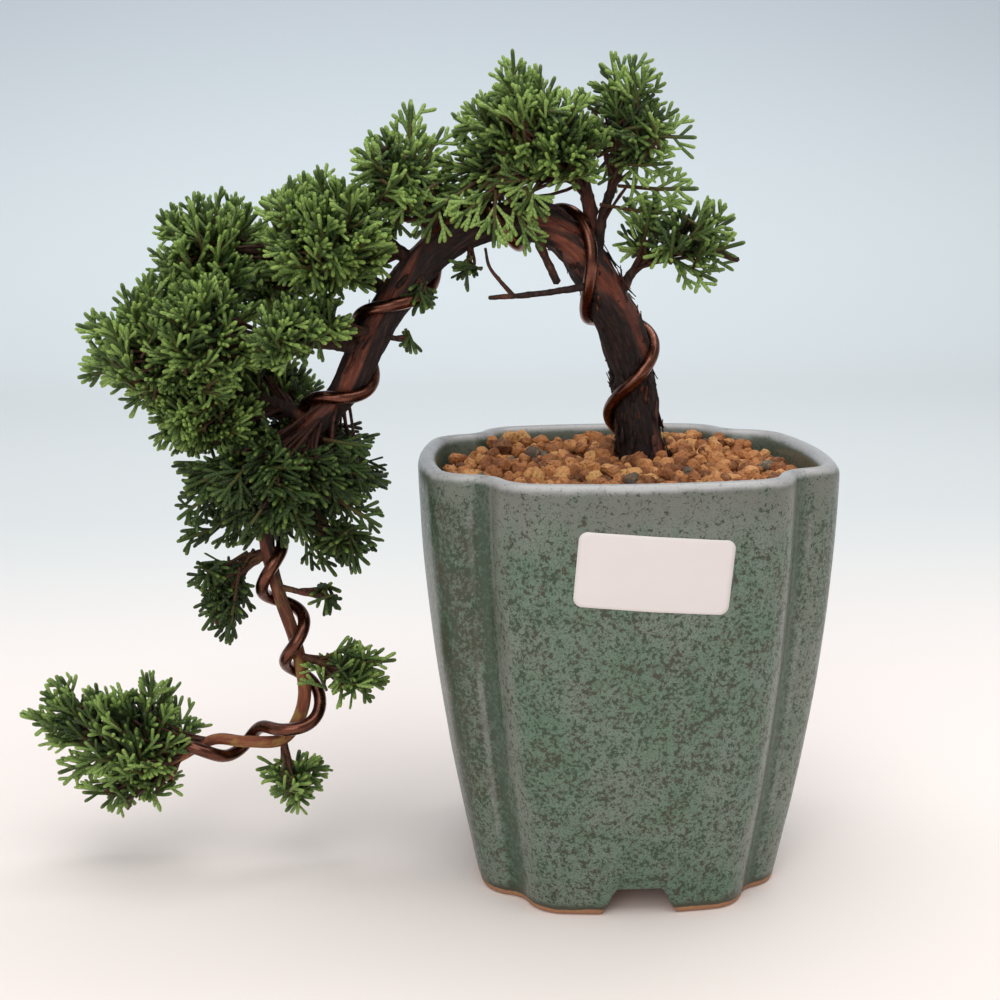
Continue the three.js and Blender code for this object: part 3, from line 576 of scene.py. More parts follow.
def leaf_finish():
    """Scale leaves on a shoot. The shoots' own map holds 8 by 8 tiles: across a tile is once round the shoot
    and up it is the way from the tip. The column gives the shoot's tone, from woody and old to fresh and
    from painted shade to painted light, and the row how long the tile is, each a third longer than the one
    before."""
    f = Finish("juniper_scale_leaves", IOR=1.42)
    map_point = f.node("ShaderNodeUVMap", {"uv_map": "OFBake"})
    across, up = f.axis(map_point, "X") * float(TILES), f.axis(map_point, "Y") * float(TILES)
    column, row = across.math("FLOOR"), up.math("FLOOR")
    around, from_tip = across.math("FRACT"), up.math("FRACT")
    reach = TILE_REACH * f.node("ShaderNodeMath", {"operation": "POWER"}, {0: TILE_GROWTH, 1: row})
    distance = from_tip * reach
    rank, pair = around * SCALE_RANKS, distance / SCALE_PAIR_GAP
    one = ((rank + pair) * math.pi).math("SINE").math("ABSOLUTE")
    other = ((rank - pair) * math.pi).math("SINE").math("ABSOLUTE")
    scale = one.math("MINIMUM", other)
    tone = column / float(TILES - 1)
    leading = 1.0 - f.step(tone, 0.02, 0.08)
    # The dark low columns are painted shade as well as old leaves, and the bright high ones are partly
    # painted light.
    green = f.ramp(tone, [
        (0.0, (0.046, 0.084, 0.010)), (0.14, (0.010, 0.021, 0.002)), (0.43, (0.036, 0.078, 0.007)),
        (0.71, (0.100, 0.186, 0.018)), (1.0, (0.220, 0.350, 0.052))])
    green = f.blend(f.step(distance, 4.0, 9.0) * leading * 0.8, green, (0.115, 0.090, 0.020))
    edge = f.blend(tone * tone, (0.040, 0.072, 0.016), (0.520, 0.700, 0.320))
    colour = f.blend((1.0 - f.step(scale, 0.05, 0.45)) * 0.85, green, edge)
    fresh = (1.0 - f.step(distance, 0.2, 2.2)) * f.step(tone + leading * 0.6, 0.20, 0.90)
    colour = f.blend(fresh * 0.72, colour, (0.300, 0.450, 0.085))
    colour = f.blend(f.step(distance, 8.5, 15.0) * leading * 0.9, colour, (0.085, 0.036, 0.014))
    relief = f.bump(scale, 0.00022, 0.8)
    return f.finish(Base_Color=colour, Roughness=0.46, Normal=relief)


def wire_finish():
    """Soft aluminium training wire, anodised brown, with faint drawn streaks and rubbed spots."""
    f = Finish("brown_anodised_wire", Metallic=1.0, IOR=1.6, Coat_Weight=0.35, Coat_Roughness=0.16)
    rub = f.noise(0.004, 4.0, 0.6)
    colour = f.ramp(rub, [
        (0.3, (0.075, 0.022, 0.012)), (0.55, (0.150, 0.050, 0.028)), (0.8, (0.30, 0.125, 0.075))])
    grain = f.noise(0.0008, 3.0, 0.6)
    return f.finish(Base_Color=colour, Roughness=0.20 + grain * 0.16, Normal=f.bump(grain, 0.00004, 0.5))


def clip_finish():
    """Bright steel wire of the drain mesh's clip."""
    f = Finish("clip_steel", Metallic=1.0)
    rub = f.noise(0.003, 3.0)
    colour = f.blend(rub, (0.42, 0.40, 0.38), (0.60, 0.58, 0.56))
    return f.finish(Base_Color=colour, Roughness=0.28 + rub * 0.15)


def plastic_finish():
    """Dark moulded plastic of the drain mesh, a little dusty."""
    f = Finish("screen_plastic")
    dust = f.noise(0.002, 4.0, 0.6)
    colour = f.blend(f.step(dust, 0.5, 0.8), (0.012, 0.014, 0.012), (0.06, 0.052, 0.04))
    return f.finish(Base_Color=colour, Roughness=0.42 + dust * 0.3, Normal=f.bump(dust, 0.0002, 0.5))


def paper_finish():
    """Blank coated label paper, very slightly mottled, with a faint sheen."""
    f = Finish("label_paper", IOR=1.45)
    cloud = f.noise(0.006, 3.0)
    colour = f.blend(cloud, (0.755, 0.694, 0.678), (0.79, 0.732, 0.715))
    fibres = f.bump(f.noise(0.0004), 0.00002, 0.4)
    return f.finish(Base_Color=colour, Roughness=0.42 + cloud * 0.1, Normal=fibres)


# ---------------------------------------------------------------- pot
def wall_half(z):
    share = np.clip(1 - np.maximum(z, 0) / POT_HEIGHT, 0, None)
    return POT_HALF - (POT_HALF - POT_BASE_HALF) * share ** BULGE_POWER


def crease_at(z):
    share = (wall_half(z) - POT_BASE_HALF) / (POT_HALF - POT_BASE_HALF)
    return CREASE_BASE + (CREASE_RIM - CREASE_BASE) * share


def plan_ring(z, inset, parts=(24, 14, 7)):
    """The pot's plan at heights z (one ring per row), moved in by inset. One eighth is a wide face arc, the
    lobe's corner arc and the fillet of the crease, all tangent; it is mirrored across the diagonal and
    turned four times. parts are the steps on the three arcs."""
    z, inset = np.broadcast_arrays(np.asarray(z, float), np.asarray(inset, float))
    half, crease = wall_half(z)[:, None], crease_at(z)[:, None]
    inset = inset[:, None]
    corner = CORNER_SHARE * half
    face_x = half - FACE_RADIUS
    d = crease + CREASE_FILLET / math.sqrt(2)
    reach_face, reach_crease = FACE_RADIUS - corner, corner + CREASE_FILLET
    span, base = np.hypot(d - face_x, d), np.arctan2(d, d - face_x)
    open_by = np.arccos((reach_face ** 2 + span ** 2 - reach_crease ** 2) / (2 * reach_face * span))
    turn = base - open_by
    cx, cy = face_x + reach_face * np.cos(turn), reach_face * np.sin(turn)
    to_crease = np.arctan2(d - cy, d - cx)
    steps = [np.arange(count) / count for count in parts]
    on_face, on_corner = turn * steps[0], turn + (to_crease - turn) * steps[1]
    on_fillet = to_crease + np.pi + (0.25 * np.pi - to_crease) * np.append(steps[2], 1.0)
    x = np.concatenate([face_x + (FACE_RADIUS - inset) * np.cos(on_face),
                        cx + (corner - inset) * np.cos(on_corner),
                        d + (CREASE_FILLET + inset) * np.cos(on_fillet)], 1)
    y = np.concatenate([(FACE_RADIUS - inset) * np.sin(on_face), cy + (corner - inset) * np.sin(on_corner),
                        d + (CREASE_FILLET + inset) * np.sin(on_fillet)], 1)
    x, y = np.concatenate([x, y[:, -2:0:-1]], 1), np.concatenate([y, x[:, -2:0:-1]], 1)
    turns = [(1, 0), (0, 1), (-1, 0), (0, -1)]
    xs = np.concatenate([c * x - s * y for c, s in turns], 1)
    ys = np.concatenate([s * x + c * y for c, s in turns], 1)
    return np.stack([xs, ys, np.broadcast_to(z[:, None], xs.shape)], -1)


def pot_piece(finish):
    """One closed grid: round it the plan, along it up the outside, over the rounded lip, down the inside,
    across the floor to the drain hole, down that and back under the foot. Near the middle of each face the
    foot's rows are lifted by an eased trapezoid, which is the opening between two feet."""
    arc = np.linspace(0, np.pi, 13)
    outside = [(0, 1.3), (0.15, 0.6), (0.5, 0.2), (1.0, 0)]
    outside += [(z, 0) for z in (1.8, 2.8, 3.9, 5.0, 6.2, 7.6, 9.5, *np.linspace(12, 118, 38), 120)]
    lip = [(POT_HEIGHT - 3.4 + 3.4 * math.sin(a), WALL / 2 * (1 - math.cos(a))) for a in arc]
    inside = [(z, WALL) for z in (119, 116, 112, 100, 80, 60, 40, 26, 17, 14)]
    floor = [(12.8, WALL + 0.3), (12.1, WALL + 1.4), (FLOOR_TOP, WALL + 3)]
    wall_rows = np.array(outside + lip + inside + floor)
    under = np.array([(FOOT_HEIGHT, FOOT_WIDTH + 1.2), (FOOT_HEIGHT - 0.4, FOOT_WIDTH + 0.2),
                      (FOOT_HEIGHT - 1.2, FOOT_WIDTH), (3.0, FOOT_WIDTH), (1.0, FOOT_WIDTH),
                      (0.3, FOOT_WIDTH - 0.3), (0, FOOT_WIDTH - 1), (0, 4.6), (0, 2.8)])
    wall, foot = plan_ring(wall_rows[:, 0], wall_rows[:, 1]), plan_ring(under[:, 0], under[:, 1])
    direction = unit(wall[-1, :, :2])
    hole_heights = [FLOOR_TOP, FLOOR_TOP - 0.5, 9, FOOT_HEIGHT + 0.5, FOOT_HEIGHT]
    hole_radii = [DRAIN_RADIUS + 0.5, DRAIN_RADIUS, DRAIN_RADIUS, DRAIN_RADIUS, DRAIN_RADIUS + 0.5]
    hole = np.stack([np.column_stack([direction * r, np.full(len(direction), h)])
                     for h, r in zip(hole_heights, hole_radii)])
    shares = np.array([0.3, 0.65])[:, None, None]
    floor_rows = wall[-1] * (1 - shares) + hole[0] * shares
    under_rows = hole[-1] * (1 - shares) + foot[0] * shares
    grid = np.concatenate([wall, floor_rows, hole, under_rows, foot])
    across = np.minimum(np.abs(grid[..., 0]), np.abs(grid[..., 1]))
    notch = (FOOT_HEIGHT - 0.15) * (1 - ease(across, NOTCH_HALF_TOP, NOTCH_HALF_BOTTOM))
    low = np.zeros(len(grid), bool)
    low[:len(outside)] = True
    low[-len(under):] = True
    room = np.where(np.arange(len(grid)) < len(outside), 14.0, FOOT_HEIGHT)[:, None]
    height = grid[..., 2]
    lifted = height + notch * np.clip(1 - height / room, 0, 1)
    grid[..., 2] = np.where(low[:, None], lifted, height)
    rise = np.where(low[:, None] & (height < room), height, 50.0)
    thrown = 0.16 * lumps(grid, 26, 3) + 0.05 * lumps(grid, 7, 4)
    skin = (np.arange(len(grid)) < len(outside) + len(lip))[:, None] * ease(height, 2, 14)
    grid[..., :2] += unit(grid[..., :2]) * (thrown * skin)[..., None]
    diagonal = np.abs(np.abs(grid[..., 0]) - np.abs(grid[..., 1])) / math.sqrt(2)
    crease = np.exp(-(diagonal / 3.4) ** 2)
    shoulder = ease(diagonal, 3, 6) * (1 - ease(diagonal, 7, 15))
    rows = np.arange(len(grid))[:, None] + 0 * crease
    glazed = rows < len(wall)
    inner = (rows > len(outside) + 9) & glazed
    count, around = grid.shape[:2]
    i, j = np.meshgrid(np.arange(count), np.arange(around), indexing="ij")
    right, up = (j + 1) % around, (i + 1) % count
    quads = np.stack([i * around + j, i * around + right, up * around + right, up * around + j], -1)
    values = {"rise": rise, "crease": crease, "shoulder": shoulder, "glazed": glazed, "inner": inner}
    return new_piece("glazed_pot", grid.reshape(-1, 3), [quads.reshape(-1, 4)], finish, ["pot"],
                     values=values)


def label_piece(finish):
    """A thin blank sheet bent round the front face: a grid whose outline is a rounded rectangle (each ring
    the outline shrunk towards its middle), with a back, and both sides joined round the edge."""
    angle = np.linspace(0, 2 * np.pi, 96, endpoint=False)
    half_w, half_h, corner = LABEL["width"] / 2, LABEL["height"] / 2, LABEL["corner"]
    power = 0.14                    # of the superellipse whose clipped middle leaves the rounded corners
    across = np.sign(np.cos(angle)) * np.abs(np.cos(angle)) ** power
    up = np.sign(np.sin(angle)) * np.abs(np.sin(angle)) ** power
    flat_x = np.clip(across * half_w * 1.02, -(half_w - corner), half_w - corner)
    flat_z = np.clip(up * half_h * 1.02, -(half_h - corner), half_h - corner)
    spoke = np.arctan2(up * half_h - flat_z, across * half_w - flat_x)
    outline = np.stack([flat_x + corner * np.cos(spoke), flat_z + corner * np.sin(spoke)], -1)
    shares = np.array([0.25, 0.5, 0.75, 0.93, 1.0])
    front = outline[None] * shares[:, None, None]
    back = front[::-1]
    flat = np.concatenate([front, back])
    depth = np.concatenate([np.full(len(shares), 0.16), np.full(len(shares), 0.0)])
    depth[len(shares) - 1] = 0.11
    turn = math.radians(LABEL["tilt"])

    def on_face(spots, off):
        x = LABEL["x"] + spots[..., 0] * math.cos(turn) - spots[..., 1] * math.sin(turn)
        z = LABEL["z"] + spots[..., 0] * math.sin(turn) + spots[..., 1] * math.cos(turn)
        face = wall_half(z) - FACE_RADIUS + np.sqrt(FACE_RADIUS ** 2 - x ** 2)
        return np.stack([x, -(face + 0.14 + off), z], -1)

    rings = on_face(flat, depth[:, None])
    middle = np.zeros((1, 2))
    points, quads, triangles = skins(rings[None], on_face(middle, 0.16), on_face(middle, 0.0))
    return new_piece("blank_label", points, [quads, triangles], finish, ["paper_label"])


# ---------------------------------------------------------------- gravel
def gravel_top(x, y):
    """Height of the gravel: a low mound round the root crown, rising to the back wall, with two heaps."""
    away = np.hypot(x - ROOT_CROWN[0], y - ROOT_CROWN[1]) / POT_HALF
    heap = 3.6 * np.exp(-((x + 31) ** 2 + (y - 40) ** 2) / 90)
    heap = heap + 2.0 * np.exp(-((x - 32) ** 2 + (y - 40) ** 2) / 110)
    return GRAVEL_EDGE + GRAVEL_MOUND * np.exp(-3 * away ** 2) + 1.6 * ease(y, 5, 42) + heap


def inside_wall(x, y, z, inset):
    """How far inside the wall each spot is, from the plan's radius in that direction."""
    ring = plan_ring([z], [inset])[0]
    angle = np.arctan2(ring[:, 1], ring[:, 0])
    order = np.argsort(angle)
    radius = np.hypot(ring[order, 0], ring[order, 1])
    limit = np.interp(np.arctan2(y, x), angle[order], radius, period=2 * np.pi)
    return limit - np.hypot(x, y)


def gravel_piece(finish):
    """Loose stones in two layers on a jittered triangular lattice. Each is a small lumpy ball cut by nine
    random planes (radius = the least of 1 and each plane's distance over the cosine to it), stretched."""
    rng = np.random.default_rng(11)
    spacing = 4.5
    spots = []
    for layer, sink in enumerate((5.9, 2.3)):
        rows = np.arange(-15, 16)
        i, j = np.meshgrid(rows, rows, indexing="ij")
        x = (i + 0.5 * (j % 2) + 0.5 * layer) * spacing
        y = (j + 0.33 * layer) * spacing * math.sqrt(3) / 2
        x, y = x.ravel() + rng.normal(0, 0.85, x.size), y.ravel() + rng.normal(0, 0.85, x.size)
        size = rng.uniform(2.0, 3.35, x.size) * np.where(rng.random(x.size) < 0.25, 0.62, 1.0)
        z = gravel_top(x, y) - sink + rng.normal(0, 0.8, x.size) - 0.25 * (size - 2.5)
        spots.append(np.stack([x, y, z, size], -1))
    spots = np.concatenate(spots)
    room = inside_wall(spots[:, 0], spots[:, 1], GRAVEL_EDGE, WALL)
    from_trunk = np.hypot(spots[:, 0] - ROOT_CROWN[0] + 0.5, spots[:, 1] - ROOT_CROWN[1] + 2)
    spots = spots[(room > spots[:, 3] * 0.88) & (from_trunk > 6.0 + 0.45 * spots[:, 3])]
    count, sides, rows = len(spots), 9, 6
    theta = np.linspace(0, np.pi, rows + 2)[1:-1]
    phi = np.linspace(0, 2 * np.pi, sides, endpoint=False)
    ball = np.stack([np.sin(theta)[:, None] * np.cos(phi), np.sin(theta)[:, None] * np.sin(phi),
                     -np.cos(theta)[:, None] * np.ones(sides)], -1).reshape(-1, 3)
    ball = np.vstack([ball, [0, 0, -1], [0, 0, 1]])
    axes = unit(rng.normal(size=(count, 9, 3)))
    lean = np.maximum(np.einsum("pc,nkc->npk", ball, axes), 0.05)
    cuts = np.minimum((rng.uniform(0.62, 0.90, (count, 1, 9)) / lean).min(-1), 1.0)
    stretch = rng.uniform(0.74, 1.24, (count, 1, 3))
    grain = 1 + 0.12 * lumps(ball[None] + rng.uniform(0, 90, (count, 1, 3)), 0.55, 5)
    turn = np.linalg.qr(rng.normal(size=(count, 3, 3)))[0]
    turn = turn * np.sign(np.linalg.det(turn))[:, None, None]
    stones = (ball[None] * (cuts * grain)[..., None] * stretch) @ turn
    stones = stones * spots[:, None, 3:] + spots[:, None, :3]
    rings = stones[:, :-2].reshape(count, rows, sides, 3)
    points, quads, triangles = skins(rings, stones[:, -2], stones[:, -1])
    shade = rng.beta(1.5, 1.5, count) * 0.90 + 0.10
    shade = np.where(rng.random(count) < 0.05, rng.uniform(0.0, 0.07, count), shade)
    tone = shade[:, None].repeat(len(ball), 1)
    return new_piece("gravel_stones", points, [quads, triangles], finish, ["gravel_top_dressing"],
                     values={"tone": tone}, smooth=False)


# ---------------------------------------------------------------- trunk, wire and branches
def root_points(index):
    x, y, z = ROOT_CROWN
    angle = 2 * math.pi * (index + 0.3) / ROOT_COUNT
    reach = ROOT_LENGTH - 4 * (index % 2)
    spots = [(0, 0, 3.4), (0.4, 3, 2.8), (0.75, 12, 2.1), (1, 27, 1.2)]
    return [[x + reach * s * math.cos(angle), y + 0.6 * reach * s * math.sin(angle), z - drop, r]
            for s, drop, r in spots]


def add_vectors(piece, name, vectors):
    """A vector attribute on a finished piece's points."""
    layer = piece.data.attributes.new(name, "FLOAT_VECTOR", "POINT")
    layer.data.foreach_set("vector", np.asarray(vectors, np.float32).ravel())


def trunk_skin(wood):
    """The trunk's rings: radius times fluted lumps, plus bark plates 0.7 mm proud with torn edges where it
    hasn't peeled. The plates follow noise drawn out six times along a slowly twisting grain."""
    sides = 72
    distance = np.arange(0, wood.length, 0.62)
    angles = np.linspace(0, 2 * np.pi, sides, endpoint=False)[None, :].repeat(len(distance), 0)
    radius = wood.radius(distance)[:, None] + 0 * angles
    from_gravel = (distance - wood.marks[GRAVEL_POINT])[:, None] + 0 * angles
    grain = angles + 0.022 * distance[:, None]
    flat = np.stack([radius * np.cos(grain), radius * np.sin(grain), distance[:, None] / 6 + 0 * angles], -1)
    old = 1 - ease(from_gravel, 150, 235)
    young = ease(from_gravel, 205, 262)
    wanted = 0.10 + 0.55 * ease(from_gravel, 24, 60) * (1 - ease(from_gravel, 92, 150))
    wanted = wanted + 0.20 * ease(from_gravel, 88, 130) - 0.30 * (1 - ease(from_gravel, 2, 26))
    wanted = wanted + 0.42 * np.sin(angles - 0.35) - 0.31
    island = lumps(flat, 6.5, 21) + 0.5 * lumps(flat, 2.6, 22)
    peel = ease(island + wanted, 0.22, 0.42)
    ridges = np.abs(lumps(flat, 1.5, 23)) + 0.5 * np.abs(lumps(flat, 0.7, 24))
    flute = 0.05 * np.sin(3 * grain + 0.03 * distance[:, None]) + 0.05 * np.sin(2 * grain - 1.0)
    halved = distance[:, None] / 2 + 0 * angles
    slow = lumps(np.stack([radius * np.cos(angles), radius * np.sin(angles), halved], -1), 4.2, 25)
    waist = 0.20 * (1 - ease(from_gravel, 0, 14)) - 0.06 * ease(from_gravel, 4, 30) * old
    share = radius / 6
    proud = old * (1 - peel) * (0.30 + 0.62 * ridges - 0.35) + peel * (0.10 * ridges - 0.32)
    reach = radius * (1 + flute - waist + 0.11 * slow) + np.clip(proud, -0.6, 0.62) * np.clip(share, 0.3, 1)
    rings = wood.rings(distance, angles, reach)
    middle = wood.centre(distance)
    tip = middle[-1:] + wood.frames(distance)[0][-1:] * 0.9
    poles = np.zeros(2)
    numbers = {
        "peel": np.concatenate([(peel * (1 - young)).ravel(), poles]),
        "youth": np.concatenate([young.ravel(), poles + 1]),
    }
    vectors = np.concatenate([flat.reshape(-1, 3), np.zeros((2, 3))])
    return skins(rings[None], middle[:1], tip), numbers, vectors


def trunk_piece(finish):
    """The trunk and its buried roots as one mesh."""
    skin, numbers, vectors = trunk_skin(Stem(TRUNK))
    roots = [limb(root_points(index), sides=10, step=1.5, seed=30 + index) for index in range(ROOT_COUNT)]
    points, quads, triangles = gather([skin, *roots])
    extra = len(points) - len(vectors)
    values = {key: np.concatenate([numbers[key], np.zeros(extra)]) for key in numbers}
    piece = new_piece("barked_trunk", points, [quads, triangles], finish, ["trunk"], values=values)
    add_vectors(piece, "unrolled", np.concatenate([vectors, points[-extra:]]) * MM)
    return piece


def flake_piece(finish):
    """Loose strips of bark that curl off the old wood: flat four-sided straps along the grain, each lifted
    at its end by the square of the way along it."""
    rng = np.random.default_rng(17)
    wood, count = Stem(TRUNK), 420
    start = wood.marks[GRAVEL_POINT] + np.concatenate([
        rng.uniform(-2, 60, count // 2), rng.uniform(0, 190, count - count // 2)])
    angle = rng.uniform(0, 2 * np.pi, count)
    length = rng.uniform(2.2, 6.5, count) * rng.choice([-1, 1], count)
    lift = rng.uniform(0.15, 0.9, count) ** 1.5 * 1.5
    width = rng.uniform(0.45, 1.15, count)
    t = np.linspace(0, 1, 5)
    distance = start[:, None] + length[:, None] * t
    tangent, front, side = wood.frames(distance)
    turned = angle[:, None] + 0.022 * length[:, None] * t
    spoke = np.cos(turned)[..., None] * front + np.sin(turned)[..., None] * side
    edge = np.cross(tangent, spoke)
    reach = wood.radius(distance) + 0.05 + lift[:, None] * t ** 2
    middle = wood.centre(distance) + reach[..., None] * spoke
    spread = width[:, None] * np.array([0.75, 1.0, 0.95, 0.7, 0.25])
    thick = 0.17
    rings = np.stack([middle + edge * spread[..., None], middle + spoke * thick,
                      middle - edge * spread[..., None], middle - spoke * thick], 2)
    rings[length < 0] = rings[length < 0][:, :, ::-1]
    points, quads, triangles = skins(rings, middle[:, 0], middle[:, -1])
    shade = (rng.random(count) < 0.25)[:, None] * np.ones(len(points) // count)
    piece = new_piece("bark_flakes", points, [quads, triangles], finish,
                      values={"peel": shade * 0.7, "youth": np.zeros(len(points))})
    add_vectors(piece, "unrolled", points * np.array([1, 1, 0.3]) * MM)
    return piece


def wire_piece(finish):
    """A round wire wound on the trunk: its middle is the wood's radius, its own radius, a small gap and some
    slack away from the trunk's line, at the angle that the list of turns gives, eased through a smooth
    line. Each ring's front is the ring before's, turned the least that keeps it square to the wire."""
    wood = Stem(TRUNK)
    turns = np.array(WIRE_TURNS, float)
    steps_per_turn = 12
    spots = [np.linspace(a, b, int(math.ceil((b[1] - a[1]) * steps_per_turn)), endpoint=False)
             for a, b in zip(turns[:-1], turns[1:])]
    spots = np.vstack([*spots, turns[-1:]])
    distance = np.clip(wood.marks[GRAVEL_POINT] + spots[:, 0], 0, wood.length)
    _, front, side = wood.frames(distance)
    reach = wood.radius(distance) + WIRE_RADIUS + WIRE_OFF_BARK + spots[:, 2]
    angle = 2 * np.pi * spots[:, 1]
    middle = wood.centre(distance) + reach[:, None] * (
        np.cos(angle)[:, None] * front + np.sin(angle)[:, None] * side)
    for _ in range(2):
        middle[1:-1] = middle[1:-1] * 0.5 + (middle[:-2] + middle[2:]) * 0.25
    path = Stem(np.column_stack([middle, np.full(len(middle), WIRE_RADIUS)]), per_span=6)
    along = np.arange(0, path.length, 0.8)
    centres, tangent = path.centre(along), path.frames(along)[0]
    fronts = np.empty_like(tangent)
    reference = np.array([0.0, 0.0, 1.0])
    for index, direction in enumerate(tangent):
        reference = unit(reference - direction * (reference @ direction))
        fronts[index] = reference
    sides = np.cross(tangent, fronts)
    angles = np.linspace(0, 2 * np.pi, 16, endpoint=False)
    end_shape = np.sqrt(np.clip(np.minimum(along, along[-1] - along) / 0.8, 0.0, 1.0)) * 0.3 + 0.7
    spoke = np.cos(angles)[:, None] * fronts[:, None] + np.sin(angles)[:, None] * sides[:, None]
    rings = centres[:, None] + (WIRE_RADIUS * end_shape)[:, None, None] * spoke
    points, quads, triangles = skins(rings[None], centres[:1], centres[-1:])
    return new_piece("brown_training_wire", points, [quads, triangles], finish,
                     ["training_wire"])


def branch_piece(name, finish, index):
    """A branch with bark, standing for the CAD node of that name. The bare twig also gets its side fork."""
    parts = [limb(BRANCHES[name], seed=50 + 3 * index, swell=0.12)]
    if name == "bare_twig":
        fork = [[-31, 1, 169.4, 0.7], [-35, 0, 174, 0.6], [-38, -1, 178, 0.5], [-39, -1, 183, 0.4]]
        parts.append(limb(fork, sides=10, seed=7, swell=0.15))
    points, quads, triangles = gather(parts)
    young = np.full(len(points), 0.04 + 0.25 * (points[:, 2].mean() < 100))
    peel = ease(lumps(points, 6, 9), 0.1, 0.7) * 0.6
    piece = new_piece(name + "_wood", points, [quads, triangles], finish, [name],
                      values={"peel": peel, "youth": young})
    add_vectors(piece, "unrolled", points * np.array([1, 1, 0.3]) * MM)
    return piece


# ---------------------------------------------------------------- foliage
TILES = 8                 # tiles each way in the shoots' map
TILE_REACH = 4.0          # millimetres that the first row of tiles covers
TILE_GROWTH = 1.33
SCALE_RANKS = 4.0         # rows of scale leaves round a shoot
SCALE_PAIR_GAP = 1.05     # millimetres from one pair of scales to the next
GOLDEN_ANGLE = math.pi * (3 - math.sqrt(5))
SPRAY_ROOM = 40           # square millimetres of a mass's skin for each spray
ALL_MASSES = np.array([mass for _, _, masses in PADS.values() for mass in masses], float)


